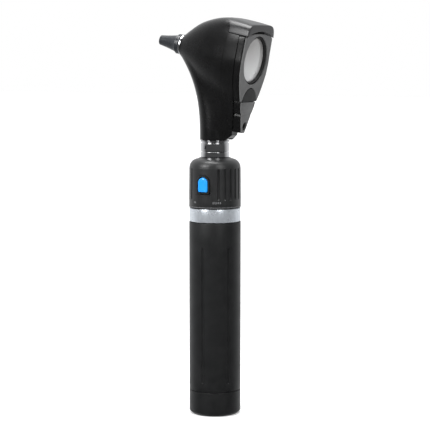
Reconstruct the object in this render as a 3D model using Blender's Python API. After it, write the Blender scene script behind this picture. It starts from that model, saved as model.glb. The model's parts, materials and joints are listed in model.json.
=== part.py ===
"""Otoscope: a rechargeable handle with a ribbed dimmer collar, and a lit head with a swinging lens.

Lengths in this file are millimetres and angles are degrees; finish() turns them into metres.
Frame: +Z up the handle from the centre of its bottom face, lens towards +X, specula
towards -X, lock button at -Y. Inside the head, u runs along the optical axis towards the
lens, w runs up the lens plate and y is across.
"""

import math

import bmesh
import bpy
from mathutils import Matrix, Vector

MM = 0.001
GAP = 0.3
ROUND = 32
HIDDEN_ROUND = 20

# Handle levels, bottom to top.
CAP_TOP = 14.0
BARREL_TOP = 112.85
RING_TOP = 120.85
COLLAR_TOP = 150.0
BOSS_TOP = 153.3
SOCKET_TOP = 160.0

# Handle radii.
BARREL_R = 14.95
BARREL_BORE = 13.3
RING_R = 14.75
COLLAR_R = 15.0
NECK_R = 8.25
POST_R = 5.6
CELL_R = 12.9
CORE_R = 6.3

# Finger grooves down the barrel.
GROOVE_COUNT = 6
GROOVE_FIRST = -91.0
GROOVE_BOTTOM = 20.0
GROOVE_TOP = 98.0
GROOVE_R = 0.8

# Ribs round the collar, left out of a smooth panel round the lock button.
RIB_COUNT = 21
PANEL_HALF_ANGLE = 28.5
RIB_DEPTH = 0.55
RIB_BOTTOM = 125.5
RIB_TOP = 144.0

# Lock button.
BUTTON_ANGLE = -90.0
BUTTON_WIDTH = 6.0
BUTTON_BOTTOM = 130.9
BUTTON_TOP = 139.2
BUTTON_FRONT = 15.7
BUTTON_BACK = 11.5

# Bayonet joint between handle and head.
PIN_ANGLES = (-105.0, 75.0)
PIN_Z = 156.0
PIN_R = 0.9
TWIST_RANGE = 30.0

# Optical axis.
TILT = 11.0
AXIS_Z = 210.7
FRONT_U = -20.0
BODY_BACK_U = 21.5
PLATE_BACK_U = 21.8
PLATE_FACE_U = 26.8
BROW_U = 27.4
WINDOW_R = 13.65
WALL = 1.8

# Lens frame's pivot, in the plate's own w and y, and the arcs struck from it.
PIVOT_W = -24.6
BOSS_R = 8.5
EAR_R = 5.2
EAR_NECK_R = 9.7
EAR_NECK_HALF_ANGLE = 35.0
EAR_TOP_U = 23.3
BOSS_DISC_U = 24.8
PIVOT_PIN_R = 1.5
FRAME_TOP_R = 41.0
FRAME_TOP_W = 15.4
FRAME_CROWN_R = 70.0
COVER_FRONT_U = 6.0
COVER_FRONT_CURVE = 6.5
FRAME_FOOT_W = -23.6
PLATE_TIP_W = -42.0
PORT_W = -38.0
PORT_R = 2.1

# Head's outer form.
STEM_BASE = 160.3
STEM_R = 8.7
STEM_FLARE = 12.0
STEM_FLARE_HEIGHT = 47.0
STEM_FLARE_POWER = 2.7
STEM_NARROWING = 2.5
STEM_FADE_START = 203.0
STEM_FADE_HEIGHT = 11.0
BLEND = 1.6
FUNNEL_WIDTHS = ((-20, 6.25), (-14, 8.8), (-5, 11.8), (5, 14.0), (15, 15.6), (27, 16.4))
FUNNEL_TOPS = (
    (-20, 6.3), (-16.4, 9.9), (-11, 14.4), (-5, 17.6), (2.6, 20.3), (10, 21.5), (21, 21.1), (28, 20.4),
)
FUNNEL_DEPTHS = ((-20, 6.3), (-14, 10.0), (-5, 16.0), (5, 22.0), (15, 27.0), (27, 31.0))
FAN_X = 3.0
FAN_Z = 205.0
HEAD_COLUMNS = 34

# Nozzle and ear speculum, along the optical axis.
NOZZLE_R = 6.1
NOZZLE_BORE = 4.5
SPECULUM_BACK_U = -22.1
SPECULUM_FLANGE_U = -24.6
SPECULUM_TIP_U = -36.3
SPECULUM_FLANGE_R = 5.7
SPECULUM_TIP_R = 2.85

COLOURS = {
    "black_plastic": ((0.012, 0.012, 0.013), 0.38, 0.0),
    "grip_black": ((0.016, 0.017, 0.018), 0.55, 0.0),
    "plate_grey": ((0.09, 0.09, 0.092), 0.5, 0.0),
    "boss_black": ((0.018, 0.018, 0.018), 0.6, 0.0),
    "polished_chrome": ((0.75, 0.76, 0.78), 0.08, 1.0),
    "satin_aluminium": ((0.62, 0.65, 0.7), 0.3, 1.0),
    "button_blue": ((0.01, 0.3, 0.85), 0.3, 0.0),
    "lens_glass": ((0.6, 0.61, 0.62), 0.05, 0.0),
    "speculum_black": ((0.03, 0.032, 0.036), 0.35, 0.0),
    "seal_rubber": ((0.02, 0.02, 0.02), 0.8, 0.0),
    "contact_brass": ((0.75, 0.55, 0.22), 0.25, 1.0),
    "spring_steel": ((0.5, 0.5, 0.52), 0.3, 1.0),
    "insulator_white": ((0.7, 0.69, 0.65), 0.5, 0.0),
    "cell_blue": ((0.03, 0.12, 0.35), 0.4, 0.0),
    "board_green": ((0.02, 0.16, 0.07), 0.5, 0.0),
    "lamp_glass": ((0.8, 0.78, 0.7), 0.1, 0.0),
    "fibre_clear": ((0.7, 0.72, 0.75), 0.25, 0.0),
}


# ---------------------------------------------------------------- general tools

def clear_scene():
    for old in list(bpy.data.objects):
        bpy.data.objects.remove(old, do_unlink=True)


def material(name):
    """Return the named Principled material, made on first use."""
    made = bpy.data.materials.get(name)
    if made:
        return made
    colour, roughness, metallic = COLOURS[name]
    made = bpy.data.materials.new(name)
    made.use_nodes = True
    shader = made.node_tree.nodes["Principled BSDF"]
    shader.inputs["Base Color"].default_value = (*colour, 1.0)
    shader.inputs["Roughness"].default_value = roughness
    shader.inputs["Metallic"].default_value = metallic
    made.diffuse_color = (*colour, 1.0)
    return made


def holder(name, location, rotation=(0, 0, 0), parent=None):
    """An empty that pieces are parented to; location in millimetres, rotation in degrees."""
    empty = bpy.data.objects.new(name, None)
    bpy.context.scene.collection.objects.link(empty)
    empty.location = Vector(location) * MM
    empty.rotation_euler = [math.radians(angle) for angle in rotation]
    empty.parent = parent
    return empty


def finish(name, bm, material_name, parent=None, location=(0, 0, 0)):
    """Close the bmesh into an object: metres, outward faces, smooth with sharp edges."""
    bmesh.ops.recalc_face_normals(bm, faces=bm.faces)
    if bm.calc_volume(signed=True) < 0:
        bmesh.ops.reverse_faces(bm, faces=bm.faces)
    mesh = bpy.data.meshes.new(name)
    bm.to_mesh(mesh)
    bm.free()
    mesh.transform(Matrix.Scale(MM, 4))
    mesh.shade_smooth()
    mesh.set_sharp_from_angle(angle=math.radians(35))
    made = bpy.data.objects.new(name, mesh)
    bpy.context.scene.collection.objects.link(made)
    made.parent = parent
    made.location = Vector(location) * MM
    if material_name:
        mesh.materials.append(material(material_name))
    return made


def cutter(name, bm, parent=None, location=(0, 0, 0)):
    """A solid that only shapes others."""
    made = finish(name, bm, None, parent, location)
    made.hide_render = True
    made.display_type = "WIRE"
    return made


def shape_by(target, tool, operation="DIFFERENCE"):
    modifier = target.modifiers.new(tool.name, "BOOLEAN")
    modifier.object = tool
    modifier.operation = operation
    modifier.solver = "EXACT"


def even_turns(segments):
    return [2 * math.pi * step / segments for step in range(segments)]


def lathe(outline, segments=ROUND, turns=None, radius_at=None):
    """Turn a closed outline of (radius, z) points about Z; radius_at may vary it round the turn."""
    turns = turns or even_turns(segments)
    segments = len(turns)
    bm = bmesh.new()
    rings = []
    for radius, z in outline:
        if radius <= 0:
            rings.append([bm.verts.new((0, 0, z))] * segments)
            continue
        ring = []
        for angle in turns:
            wide = radius_at(radius, z, angle) if radius_at else radius
            ring.append(bm.verts.new((wide * math.cos(angle), wide * math.sin(angle), z)))
        rings.append(ring)
    for low, high in zip(rings, rings[1:] + rings[:1]):
        for step in range(segments):
            after = (step + 1) % segments
            corners = [low[step], low[after], high[after], high[step]]
            distinct = list(dict.fromkeys(corners))
            if len(distinct) > 2:
                bm.faces.new(distinct)
    return bm


def turned(name, material_name, outline, parent=None, location=(0, 0, 0), segments=ROUND):
    return finish(name, lathe(outline, segments), material_name, parent, location)


def tube_outline(outer, inner, low, high, chamfer=0.0):
    """Outline of a plain ring, its outer edges chamfered."""
    if not chamfer:
        return [(outer, low), (outer, high), (inner, high), (inner, low)]
    return [
        (outer - chamfer, low), (outer, low + chamfer), (outer, high - chamfer), (outer - chamfer, high),
        (inner, high), (inner, low),
    ]


def disc_outline(radius, low, high):
    return [(0, low), (radius, low), (radius, high), (0, high)]


def arc(centre, radius, start, end, steps):
    """Points on a circle in the plane, angles in degrees, both ends included."""
    points = []
    for step in range(steps + 1):
        angle = math.radians(start + (end - start) * step / steps)
        points.append((centre[0] + radius * math.cos(angle), centre[1] + radius * math.sin(angle)))
    return points


def prism(outline, low, high):
    """Extrude a closed outline of (x, y) points along Z."""
    bm = bmesh.new()
    bottom = [bm.verts.new((x, y, low)) for x, y in outline]
    top = [bm.verts.new((x, y, high)) for x, y in outline]
    bm.faces.new(bottom)
    bm.faces.new(top)
    count = len(outline)
    for step in range(count):
        after = (step + 1) % count
        bm.faces.new((bottom[step], bottom[after], top[after], top[step]))
    return bm


def sweep(points, radius, sides=8):
    """A round tube along a list of points, with flat ends."""
    bm = bmesh.new()
    path = [Vector(point) for point in points]
    rings = []
    across = Vector((0, 1, 0.01)).normalized()
    for index, point in enumerate(path):
        ahead = path[min(index + 1, len(path) - 1)] - path[max(index - 1, 0)]
        ahead.normalize()
        across = (across - ahead * across.dot(ahead)).normalized()
        other = ahead.cross(across)
        ring = []
        for side in range(sides):
            angle = 2 * math.pi * side / sides
            offset = across * (radius * math.cos(angle)) + other * (radius * math.sin(angle))
            ring.append(bm.verts.new(point + offset))
        rings.append(ring)
    for low, high in zip(rings, rings[1:]):
        for side in range(sides):
            after = (side + 1) % sides
            bm.faces.new((low[side], low[after], high[after], high[side]))
    bm.faces.new(rings[0])
    bm.faces.new(rings[-1])
    return bm


def coil(name, parent, coil_r, wire_r, low, high, turns, steps=12):
    """A compression spring along local Z between two levels."""
    start = low + wire_r
    rise = high - low - 2 * wire_r
    points = []
    for step in range(int(turns * steps) + 1):
        angle = 2 * math.pi * step / steps
        height = start + rise * step / (turns * steps)
        points.append((coil_r * math.cos(angle), coil_r * math.sin(angle), height))
    return finish(name, sweep(points, wire_r, sides=6), "spring_steel", parent)


def smooth_through(points, at):
    """A smooth curve through (x, y) points, level beyond its ends."""
    if at <= points[0][0]:
        return points[0][1]
    if at >= points[-1][0]:
        return points[-1][1]
    index = max(i for i in range(len(points) - 1) if points[i][0] <= at)
    slopes = []
    for i in (index, index + 1):
        before = points[max(i - 1, 0)]
        after = points[min(i + 1, len(points) - 1)]
        slopes.append((after[1] - before[1]) / (after[0] - before[0]))
    (x0, y0), (x1, y1) = points[index], points[index + 1]
    span = x1 - x0
    t = (at - x0) / span
    return (
        y0 * (2 * t ** 3 - 3 * t ** 2 + 1) + slopes[0] * span * (t ** 3 - 2 * t ** 2 + t)
        + y1 * (3 * t ** 2 - 2 * t ** 3) + slopes[1] * span * (t ** 3 - t ** 2)
    )


# ---------------------------------------------------------------- the head's form

def optical_coordinates(x, z):
    """Turn x and z into u along the optical axis and w up the plate."""
    lean = math.radians(TILT)
    rise = z - AXIS_Z
    return x * math.cos(lean) - rise * math.sin(lean), x * math.sin(lean) + rise * math.cos(lean)


def funnel_half_width(u, w, inset):
    """Half the width of the funnel round the optical axis, negative outside it."""
    heights = FUNNEL_TOPS if w > 0 else FUNNEL_DEPTHS
    height = smooth_through(heights, u) - inset
    width = smooth_through(FUNNEL_WIDTHS, u) - inset
    along = min(max((u - FRONT_U) / (PLATE_FACE_U - FRONT_U), 0.0), 1.0)
    power = 2.0 + 4.5 * along ** 1.5 if w > 0 else 2.0 - 0.3 * along
    ratio = abs(w) / height
    if ratio >= 1:
        return height - abs(w)
    return width * (1 - ratio ** power) ** (1 / power)


def stem_half_width(x, z, inset):
    """Half the width of the stem between the neck and the lens plate, negative outside it."""
    rise = max(z - STEM_BASE, 0.0) / STEM_FLARE_HEIGHT
    front = -(STEM_R + STEM_FLARE * rise ** STEM_FLARE_POWER) + inset
    radius = STEM_R - STEM_NARROWING * rise ** 2 - inset
    centre = front + radius
    lean = math.radians(TILT)
    back = (PLATE_FACE_U + (z - AXIS_Z) * math.sin(lean)) / math.cos(lean)
    back_w = optical_coordinates(back, z)[1]
    back_half = min(max(5.9 + 0.42 * (back_w + 31.0), 0.8), 15.5) - inset
    if x < front:
        return x - front
    half = math.sqrt(max(radius ** 2 - (x - centre) ** 2, 0.0))
    if x > centre:
        half = max(half, radius + (back_half - radius) * (x - centre) / (back - centre))
    if z > STEM_FADE_START:
        fade = (z - STEM_FADE_START) / STEM_FADE_HEIGHT
        if fade >= 1:
            return -(fade - 1) * STEM_FADE_HEIGHT
        half *= math.sqrt(1 - fade ** 2)
    return half


def head_half_width(x, z, inset):
    u, w = optical_coordinates(x, z)
    funnel = funnel_half_width(u, w, inset)
    stem = stem_half_width(x, z, inset)
    return 0.5 * (funnel + stem + math.hypot(funnel - stem, BLEND))


def reach(start, direction, inset, front_u, back_u):
    """How far a ray from inside the head goes before it leaves the form."""
    near, far = 0.0, 70.0
    for _ in range(26):
        middle = 0.5 * (near + far)
        point = start + direction * middle
        u = optical_coordinates(point.x, point.z)[0]
        outside = (
            abs(point.y) > head_half_width(point.x, point.z, inset) or u > back_u or u < front_u
        )
        if outside:
            far = middle
        else:
            near = middle
    return near


def head_rays(base, columns):
    """Rows of rays: level ones up the stem, then a fan over the dome, closed by a pole."""
    levels = (base, 162.5, 166, 171, 177, 183, 188.5, 193.5, 198, 202)
    rows = []
    for level in levels:
        share = (level - base) / (FAN_Z - base)
        rows.append((Vector((FAN_X * share, 0, level)), 0.0))
    for elevation in range(0, 85, 7):
        rows.append((Vector((FAN_X, 0, FAN_Z)), math.radians(elevation)))
    turns = []
    for column in range(columns):
        even = 2 * math.pi * (column + 0.5) / columns
        turns.append(even + 0.38 * math.sin(even))
    return rows, turns


def head_form(inset, base=STEM_BASE, front_u=-26.0, back_u=34.0):
    """The head's closed outer form, or its hollow when inset, sampled by rays."""
    bm = bmesh.new()
    rows, turns = head_rays(base, HEAD_COLUMNS)
    rings = []
    for start, elevation in rows:
        ring = []
        for turn in turns:
            direction = Vector((
                math.cos(elevation) * math.cos(turn),
                math.cos(elevation) * math.sin(turn),
                math.sin(elevation),
            ))
            ring.append(bm.verts.new(start + direction * reach(start, direction, inset, front_u, back_u)))
        rings.append(ring)
    for low, high in zip(rings, rings[1:]):
        for column in range(HEAD_COLUMNS):
            after = (column + 1) % HEAD_COLUMNS
            bm.faces.new((low[column], low[after], high[after], high[column]))
    bm.faces.new(rings[0])
    bm.faces.new(rings[-1])
    return bm


def slice_off(bm, u, keep_below):
    """Cut the form square to the optical axis and close the cut."""
    lean = math.radians(TILT)
    along = Vector((math.cos(lean), 0, -math.sin(lean)))
    on_axis = Vector((0, 0, AXIS_Z)) + along * u
    cut_away(bm, on_axis, along if keep_below else -along)


def cut_away(bm, point, normal):
    """Remove what lies ahead of a plane and close the cut."""
    result = bmesh.ops.bisect_plane(
        bm, geom=bm.verts[:] + bm.edges[:] + bm.faces[:], dist=1e-5,
        plane_co=point, plane_no=normal, clear_outer=True,
    )
    rim = [item for item in result["geom_cut"] if isinstance(item, bmesh.types.BMEdge)]
    bmesh.ops.edgeloop_fill(bm, edges=rim)


# ---------------------------------------------------------------- handle

def build_end_cap(parent):
    outline = [
        (5.3, 0), (8.7, 0), (8.7, 1.2), (11.8, 1.2), (11.8, 0), (BARREL_R - 1.6, 0), (BARREL_R, 1.6),
        (BARREL_R, CAP_TOP), (13.0, CAP_TOP), (13.0, 15.6), (12.2, 15.6), (12.2, 17.0), (13.0, 17.0),
        (13.0, 22.0), (11.0, 22.0), (11.0, 3.0), (5.3, 3.0),
    ]
    turned("end_cap", "grip_black", outline, parent)
    turned("charge_ring", "contact_brass", tube_outline(11.5, 9.0, 0, 0.9), parent)
    contact = [(0, 0), (5.0, 0), (5.0, 2.7), (2.0, 2.7), (2.0, 6.0), (0, 6.0)]
    turned("charge_contact", "contact_brass", contact, parent, segments=HIDDEN_ROUND)
    turned("contact_washer", "insulator_white", tube_outline(8.0, 2.3, 3.3, 4.6), parent, segments=HIDDEN_ROUND)


def build_cap_seal(parent):
    """Rubber ring in the cap's groove."""
    outline = arc((12.8, 16.3), 0.4, 0, 300, 5)
    turned("cap_seal", "seal_rubber", outline, parent)


def build_battery():
    coil("battery_spring", None, 7.5, 0.5, 6.5, 24.6, 3, 10)
    rounded = [
        (0, 25), (CELL_R - 1, 25), (CELL_R, 26), (CELL_R, 74), (CELL_R - 1, 75), (0, 75),
    ]
    turned("battery_cell", "cell_blue", rounded, segments=24)
    turned("battery_terminal", "contact_brass", disc_outline(3.2, 75.3, 77.0), segments=HIDDEN_ROUND)
    coil("terminal_spring", None, 2.6, 0.35, 77.3, 84.6, 2.5, 10)
    turned("terminal_plate", "contact_brass", disc_outline(4.2, 84.9, 85.7), segments=HIDDEN_ROUND)
    turned("charge_board", "board_green", disc_outline(12.8, 86.0, 87.6), segments=24)
    turned("regulator_housing", "insulator_white", disc_outline(12.6, 87.9, 104), segments=24)


def build_barrel():
    outline = [
        (BARREL_BORE, CAP_TOP + GAP), (BARREL_R, CAP_TOP + GAP), (BARREL_R, BARREL_TOP), (BARREL_BORE, BARREL_TOP),
    ]
    barrel = turned("handle_barrel", "grip_black", outline, segments=60)
    for index in range(GROOVE_COUNT):
        angle = math.radians(GROOVE_FIRST + index * 360.0 / GROOVE_COUNT)
        bm = lathe(
            [(0, GROOVE_BOTTOM - GROOVE_R), (GROOVE_R, GROOVE_BOTTOM), (GROOVE_R, GROOVE_TOP),
             (0, GROOVE_TOP + GROOVE_R)], 8,
        )
        away = BARREL_R + 0.35
        place = (away * math.cos(angle), away * math.sin(angle), 0)
        shape_by(barrel, cutter(f"groove_cutter_{index + 1}", bm, location=place))


def build_top_of_handle():
    ring = tube_outline(RING_R, 12.6, BARREL_TOP + GAP, RING_TOP, 0.35)
    turned("trim_ring", "satin_aluminium", ring, segments=48)
    base = [(CORE_R + GAP, 113.15), (12.3, 113.15), (12.3, 119.2), (CORE_R + GAP, 119.2)]
    turned("rheostat_base", "insulator_white", base, segments=24)
    turned("rheostat_track", "contact_brass", tube_outline(12.0, 9.2, 119.5, 120.2), segments=24)
    boss = [
        (3.2, 104.3), (10.5, 104.3), (12.4, 106.0), (12.4, BARREL_TOP), (CORE_R, BARREL_TOP),
        (CORE_R, COLLAR_TOP - 1.0), (CORE_R, COLLAR_TOP + GAP), (NECK_R, COLLAR_TOP + GAP),
        (NECK_R, BOSS_TOP), (POST_R, BOSS_TOP), (POST_R, 158.9), (POST_R - 0.5, 159.4), (3.2, 159.4),
    ]
    turned("coupling_boss", "polished_chrome", boss)
    for index, angle in enumerate(PIN_ANGLES):
        build_bayonet_pin(index + 1, angle)
    bushing = [(1.6, 128), (2.9, 128), (2.9, 159.1), (1.6, 159.1)]
    turned("contact_bushing", "insulator_white", bushing, segments=HIDDEN_ROUND)
    pin = [(0, 126), (1.3, 126), (1.3, 159.6), (0.8, 160.2), (0, 160.2)]
    turned("contact_pin", "contact_brass", pin, segments=16)
    coil("contact_spring", None, 1.6, 0.3, 105, 125.7, 4, 8)


def build_bayonet_pin(number, angle):
    """A cross pin standing out of the post into the head's slot."""
    place = holder(f"pin_place_{number}", (0, 0, PIN_Z), (0, 90, angle))
    turned(
        f"bayonet_pin_{number}", "polished_chrome", disc_outline(PIN_R, POST_R + 0.05, 7.0), place, segments=16,
    )


# ---------------------------------------------------------------- collar and lock button

def rib_phase(angle):
    """Where an angle falls in its rib's pitch, or None on the smooth panel."""
    from_panel = (math.degrees(angle) - BUTTON_ANGLE - PANEL_HALF_ANGLE) % 360.0
    ribbed = 360.0 - 2 * PANEL_HALF_ANGLE
    return (from_panel * RIB_COUNT / ribbed) % 1.0 if from_panel < ribbed - 0.01 else None


def collar_radius(radius, z, angle):
    """Narrow flat-bottomed grooves between broad ribs, none on the button's panel."""
    phase = rib_phase(angle)
    if phase is None or radius < 12.7 or not RIB_BOTTOM < z < RIB_TOP:
        return radius
    return radius - RIB_DEPTH if 0.35 < phase < 0.65 else radius


def collar_turns():
    """Angles that follow the ribs' edges, with a few across the smooth panel."""
    pitch = (360.0 - 2 * PANEL_HALF_ANGLE) / RIB_COUNT
    first = BUTTON_ANGLE + PANEL_HALF_ANGLE
    turns = []
    for rib in range(RIB_COUNT):
        for phase in (0.31, 0.39, 0.61, 0.69):
            turns.append(math.radians(first + (rib + phase) * pitch))
    for step in range(6):
        turns.append(math.radians(BUTTON_ANGLE - PANEL_HALF_ANGLE + step * PANEL_HALF_ANGLE / 3))
    return turns


def build_collar(parent):
    shoulder = arc((COLLAR_R - 5.4, 144.2), 5.2, 0, 82, 4)
    outline = [(12.5, RING_TOP + GAP), (COLLAR_R - 0.3, RING_TOP + GAP), (COLLAR_R, RING_TOP + GAP + 0.3)]
    outline += [(COLLAR_R, RIB_BOTTOM), (COLLAR_R, RIB_BOTTOM + 0.3), (COLLAR_R - 0.15, RIB_TOP - 0.3)]
    outline += [(COLLAR_R - 0.15, RIB_TOP)] + shoulder
    outline += [(8.7, COLLAR_TOP), (CORE_R + GAP, COLLAR_TOP), (CORE_R + GAP, 146.5), (12.5, 142.5)]
    bm = lathe(outline, turns=collar_turns(), radius_at=collar_radius)
    collar = finish("rheostat_collar", bm, "black_plastic", parent)
    window = prism(button_outline(1.5), 9.5, 20.0)
    shape_by(collar, cutter("button_window_cutter", window, button_place("window_place", parent)))
    turned("collar_core", "insulator_white", tube_outline(8.2, CORE_R + GAP, 123.2, 142.0), parent)
    wiper = prism([(9.4, -1.2), (11.6, -1.2), (11.6, 1.2), (9.4, 1.2)], 120.5, 122.9)
    finish("rheostat_wiper", wiper, "contact_brass", parent)
    bezel = finish("button_bezel", prism(button_outline(1.2), 12.9, 15.15), "boss_black",
                   button_place("bezel_place", parent))
    hole = prism(button_outline(0.4), 10.0, 20.0)
    shape_by(bezel, cutter("bezel_hole_cutter", hole, button_place("bezel_hole_place", parent)))


def button_outline(margin):
    """The button's face, arched at the top: x is across, y is up from its middle."""
    half = BUTTON_WIDTH / 2 + margin
    middle = 0.5 * (BUTTON_BOTTOM + BUTTON_TOP)
    bottom = BUTTON_BOTTOM - middle - margin
    corner = 0.8
    points = arc((half - corner, bottom + corner), corner, -90, 0, 3)
    points += arc((0, BUTTON_TOP - middle + margin - half), half, 0, 180, 10)
    points += arc((corner - half, bottom + corner), corner, 180, 270, 3)
    return points


def button_place(name, parent):
    """Local Z points out through the button's face and local Y points up the handle."""
    middle = 0.5 * (BUTTON_BOTTOM + BUTTON_TOP)
    return holder(name, (0, 0, middle), (90, 0, BUTTON_ANGLE + 90), parent)


def build_button(parent):
    place = button_place("button_place", parent)
    bm = prism(button_outline(0.0), BUTTON_BACK, BUTTON_FRONT)
    button = finish("lock_button", bm, "button_blue", place)
    bevel = button.modifiers.new("edge", "BEVEL")
    bevel.width = 0.35 * MM
    bevel.segments = 2
    bevel.limit_method = "ANGLE"
    bevel.angle_limit = math.radians(50)
    coil("button_spring", place, 1.7, 0.25, 8.5, BUTTON_BACK - GAP, 2.5, 8)


# ---------------------------------------------------------------- head

def sector(inner, outer, start, end, low, high):
    """A block swept round Z between two radii and two angles."""
    steps = 8
    outline = arc((0, 0), outer, start, end, steps) + arc((0, 0), inner, end, start, steps)
    return prism(outline, low, high)


def build_socket(parent):
    outline = [
        (5.9, BOSS_TOP + GAP), (NECK_R - 0.25, BOSS_TOP + GAP), (NECK_R, BOSS_TOP + GAP + 0.25),
        (NECK_R, SOCKET_TOP - 0.6), (NECK_R + 0.2, SOCKET_TOP - 0.5), (NECK_R + 0.2, SOCKET_TOP),
        (6.6, SOCKET_TOP), (6.6, 168.0), (3.4, 168.0), (3.4, 159.75), (5.9, 159.75),
    ]
    socket = turned("head_socket", "polished_chrome", outline, parent)
    for number, angle in enumerate(PIN_ANGLES, start=1):
        far = angle - TWIST_RANGE
        run = sector(5.2, 7.35, far - 12, angle + 12, PIN_Z - PIN_R - 0.35, PIN_Z + PIN_R + 0.35)
        shape_by(socket, cutter(f"slot_cutter_{number}", run, parent))
        entry = sector(5.3, 7.3, far - 10, far + 10, BOSS_TOP - 1.0, PIN_Z)
        shape_by(socket, cutter(f"entry_cutter_{number}", entry, parent))
    sight = holder("sight_place", (0, 0, PIN_Z), (0, 90, PIN_ANGLES[0]), parent)
    shape_by(socket, cutter("sight_hole_cutter", lathe(disc_outline(0.95, 7.0, 10.0), 16), sight))


def build_lamp(parent):
    turned("lamp_contact", "contact_brass", disc_outline(1.4, 160.5, 161.4), parent, segments=16)
    turned("lamp_insulator", "insulator_white", disc_outline(2.9, 161.7, 162.7), parent, segments=24)
    turned("lamp_base", "polished_chrome", disc_outline(3.0, 163.0, 171.5), parent, segments=24)
    bulb = [(0, 171.8), (2.3, 171.8), (2.3, 176.0)] + arc((0, 176.0), 2.3, 20, 90, 4)
    turned("lamp_bulb", "lamp_glass", bulb[:-1] + [(0, 178.3)], parent, segments=20)
    route = ((178.7, 0.0), (185.0, -1.2), (191.0, -4.4), (197.0, -8.4), (201.5, -11.4), (206.3, -14.0))
    points = []
    for step in range(15):
        height = 178.7 + (206.3 - 178.7) * step / 14
        points.append((smooth_through(route, height), 0, height))
    finish("fibre_bundle", sweep(points, 1.7, sides=10), "fibre_clear", parent)


def build_shell(parent, form_back, optics, pivot, port):
    bm = head_form(0.0)
    slice_off(bm, FRONT_U, keep_below=False)
    slice_off(bm, BODY_BACK_U, keep_below=True)
    cut_away(bm, Vector((9.2, 0, STEM_BASE)), Vector((0.62, 0, -0.78)))
    shell = finish("head_shell", bm, "black_plastic", parent)
    hollow = head_form(WALL, STEM_BASE - 2.0)
    slice_off(hollow, FRONT_U + WALL, keep_below=False)
    slice_off(hollow, BODY_BACK_U - WALL, keep_below=True)
    shape_by(shell, cutter("hollow_cutter", hollow, parent))
    bore = lathe(disc_outline(NOZZLE_BORE, FRONT_U - 3, FRONT_U + 4), 32)
    shape_by(shell, cutter("nozzle_bore_cutter", bore, optics))
    window = lathe(disc_outline(12.8, BODY_BACK_U - 4, BODY_BACK_U + 3), 32)
    shape_by(shell, cutter("rear_window_cutter", window, optics))
    notch = cover_zone(FRAME_TOP_R + 0.05, COVER_FRONT_U - GAP, BODY_BACK_U + 5)
    shape_by(shell, cutter("cover_seat_cutter", notch, optics))
    pin_hole = lathe(disc_outline(PIVOT_PIN_R + GAP, BODY_BACK_U - 4, BODY_BACK_U + 2), 24)
    shape_by(shell, cutter("shell_pin_cutter", pin_hole, pivot))
    port_hole = lathe(disc_outline(PORT_R + GAP, 12.0, BODY_BACK_U + 2), 24)
    shape_by(shell, cutter("shell_port_cutter", port_hole, port))
    cover = finish("top_cover", cover_zone(FRAME_TOP_R + 0.35, COVER_FRONT_U, BROW_U), "black_plastic", optics)
    shape_by(cover, form_back, "INTERSECT")


def plate_point(w, y):
    """The plate's own w and y as local coordinates of the optics holder."""
    return (-w, y)


def cover_front(y):
    """How far back the cover's front edge lies: furthest forward in the middle."""
    return min(COVER_FRONT_CURVE * (y / 12.0) ** 2, COVER_FRONT_CURVE + 1.5)


def cover_zone(radius, low_u, high_u):
    """Everything above an arc struck from the lens frame's pivot, its front edge curved."""
    bm = bmesh.new()
    columns = []
    for step in range(25):
        angle = math.radians(-34 + 68 * step / 24)
        y = radius * math.sin(angle)
        arc_w = PIVOT_W + radius * math.cos(angle)
        front = low_u + cover_front(y)
        corners = ((arc_w, front), (32.0, front), (32.0, high_u), (arc_w, high_u))
        columns.append([bm.verts.new((*plate_point(w, y), u)) for w, u in corners])
    for near, far in zip(columns, columns[1:]):
        for side in range(4):
            after = (side + 1) % 4
            bm.faces.new((near[side], near[after], far[after], far[side]))
    bm.faces.new(columns[0])
    bm.faces.new(columns[-1])
    return bm


def frame_top(y):
    """The swinging frame's top edge: slightly crowned, its corners kept inside the pivot's arc."""
    crown = FRAME_TOP_W - FRAME_CROWN_R + math.sqrt(FRAME_CROWN_R ** 2 - y ** 2)
    return min(crown, PIVOT_W + math.sqrt(FRAME_TOP_R ** 2 - y ** 2))


def frame_zone():
    """The swinging frame's face: crowned top, sides left to the head's form, notch at the pivot."""
    points = []
    for step in range(25):
        y = -24.0 + 2 * step
        points.append(plate_point(frame_top(y), y))
    notch_r = BOSS_R + GAP
    foot = FRAME_FOOT_W - PIVOT_W
    start = math.degrees(math.acos(foot / notch_r))
    points.append(plate_point(FRAME_FOOT_W, 24.0))
    for step in range(16):
        angle = math.radians(start - 2 * start * step / 15)
        points.append(plate_point(PIVOT_W + notch_r * math.cos(angle), notch_r * math.sin(angle)))
    points.append(plate_point(FRAME_FOOT_W, -24.0))
    return prism(points, PLATE_BACK_U, PLATE_FACE_U)


def build_lens_frame(optics, pivot, form_back):
    frame = finish("lens_frame", frame_zone(), "plate_grey", optics)
    shape_by(frame, form_back, "INTERSECT")
    shape_by(frame, cutter("ear_adder", prism(ear_outline(), PLATE_BACK_U, EAR_TOP_U), pivot), "UNION")
    window = lathe(
        [(0, PLATE_BACK_U - 1), (12.7, PLATE_BACK_U - 1), (12.7, PLATE_BACK_U + 0.5),
         (WINDOW_R, PLATE_BACK_U + 0.5), (WINDOW_R, PLATE_FACE_U + 1), (0, PLATE_FACE_U + 1)], 48,
    )
    shape_by(frame, cutter("lens_window_cutter", window, optics))
    pin_hole = lathe(disc_outline(PIVOT_PIN_R + GAP, PLATE_BACK_U - 1, EAR_TOP_U + 1), 24)
    shape_by(frame, cutter("ear_hole_cutter", pin_hole, pivot))
    turned("lens_gasket", "seal_rubber", tube_outline(13.3, 12.4, 22.6, 23.0), optics)
    lens = [(0, 23.3), (12.0, 23.3), (13.3, 23.5), (13.3, 24.3), (9.0, 24.75), (4.5, 25.0), (0, 25.1)]
    turned("magnifier_lens", "lens_glass", lens, optics)
    ring = [(12.3, 24.9), (13.35, 24.65), (13.35, 26.1), (12.7, 26.1)]
    turned("lens_retaining_ring", "boss_black", ring, optics)


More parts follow.
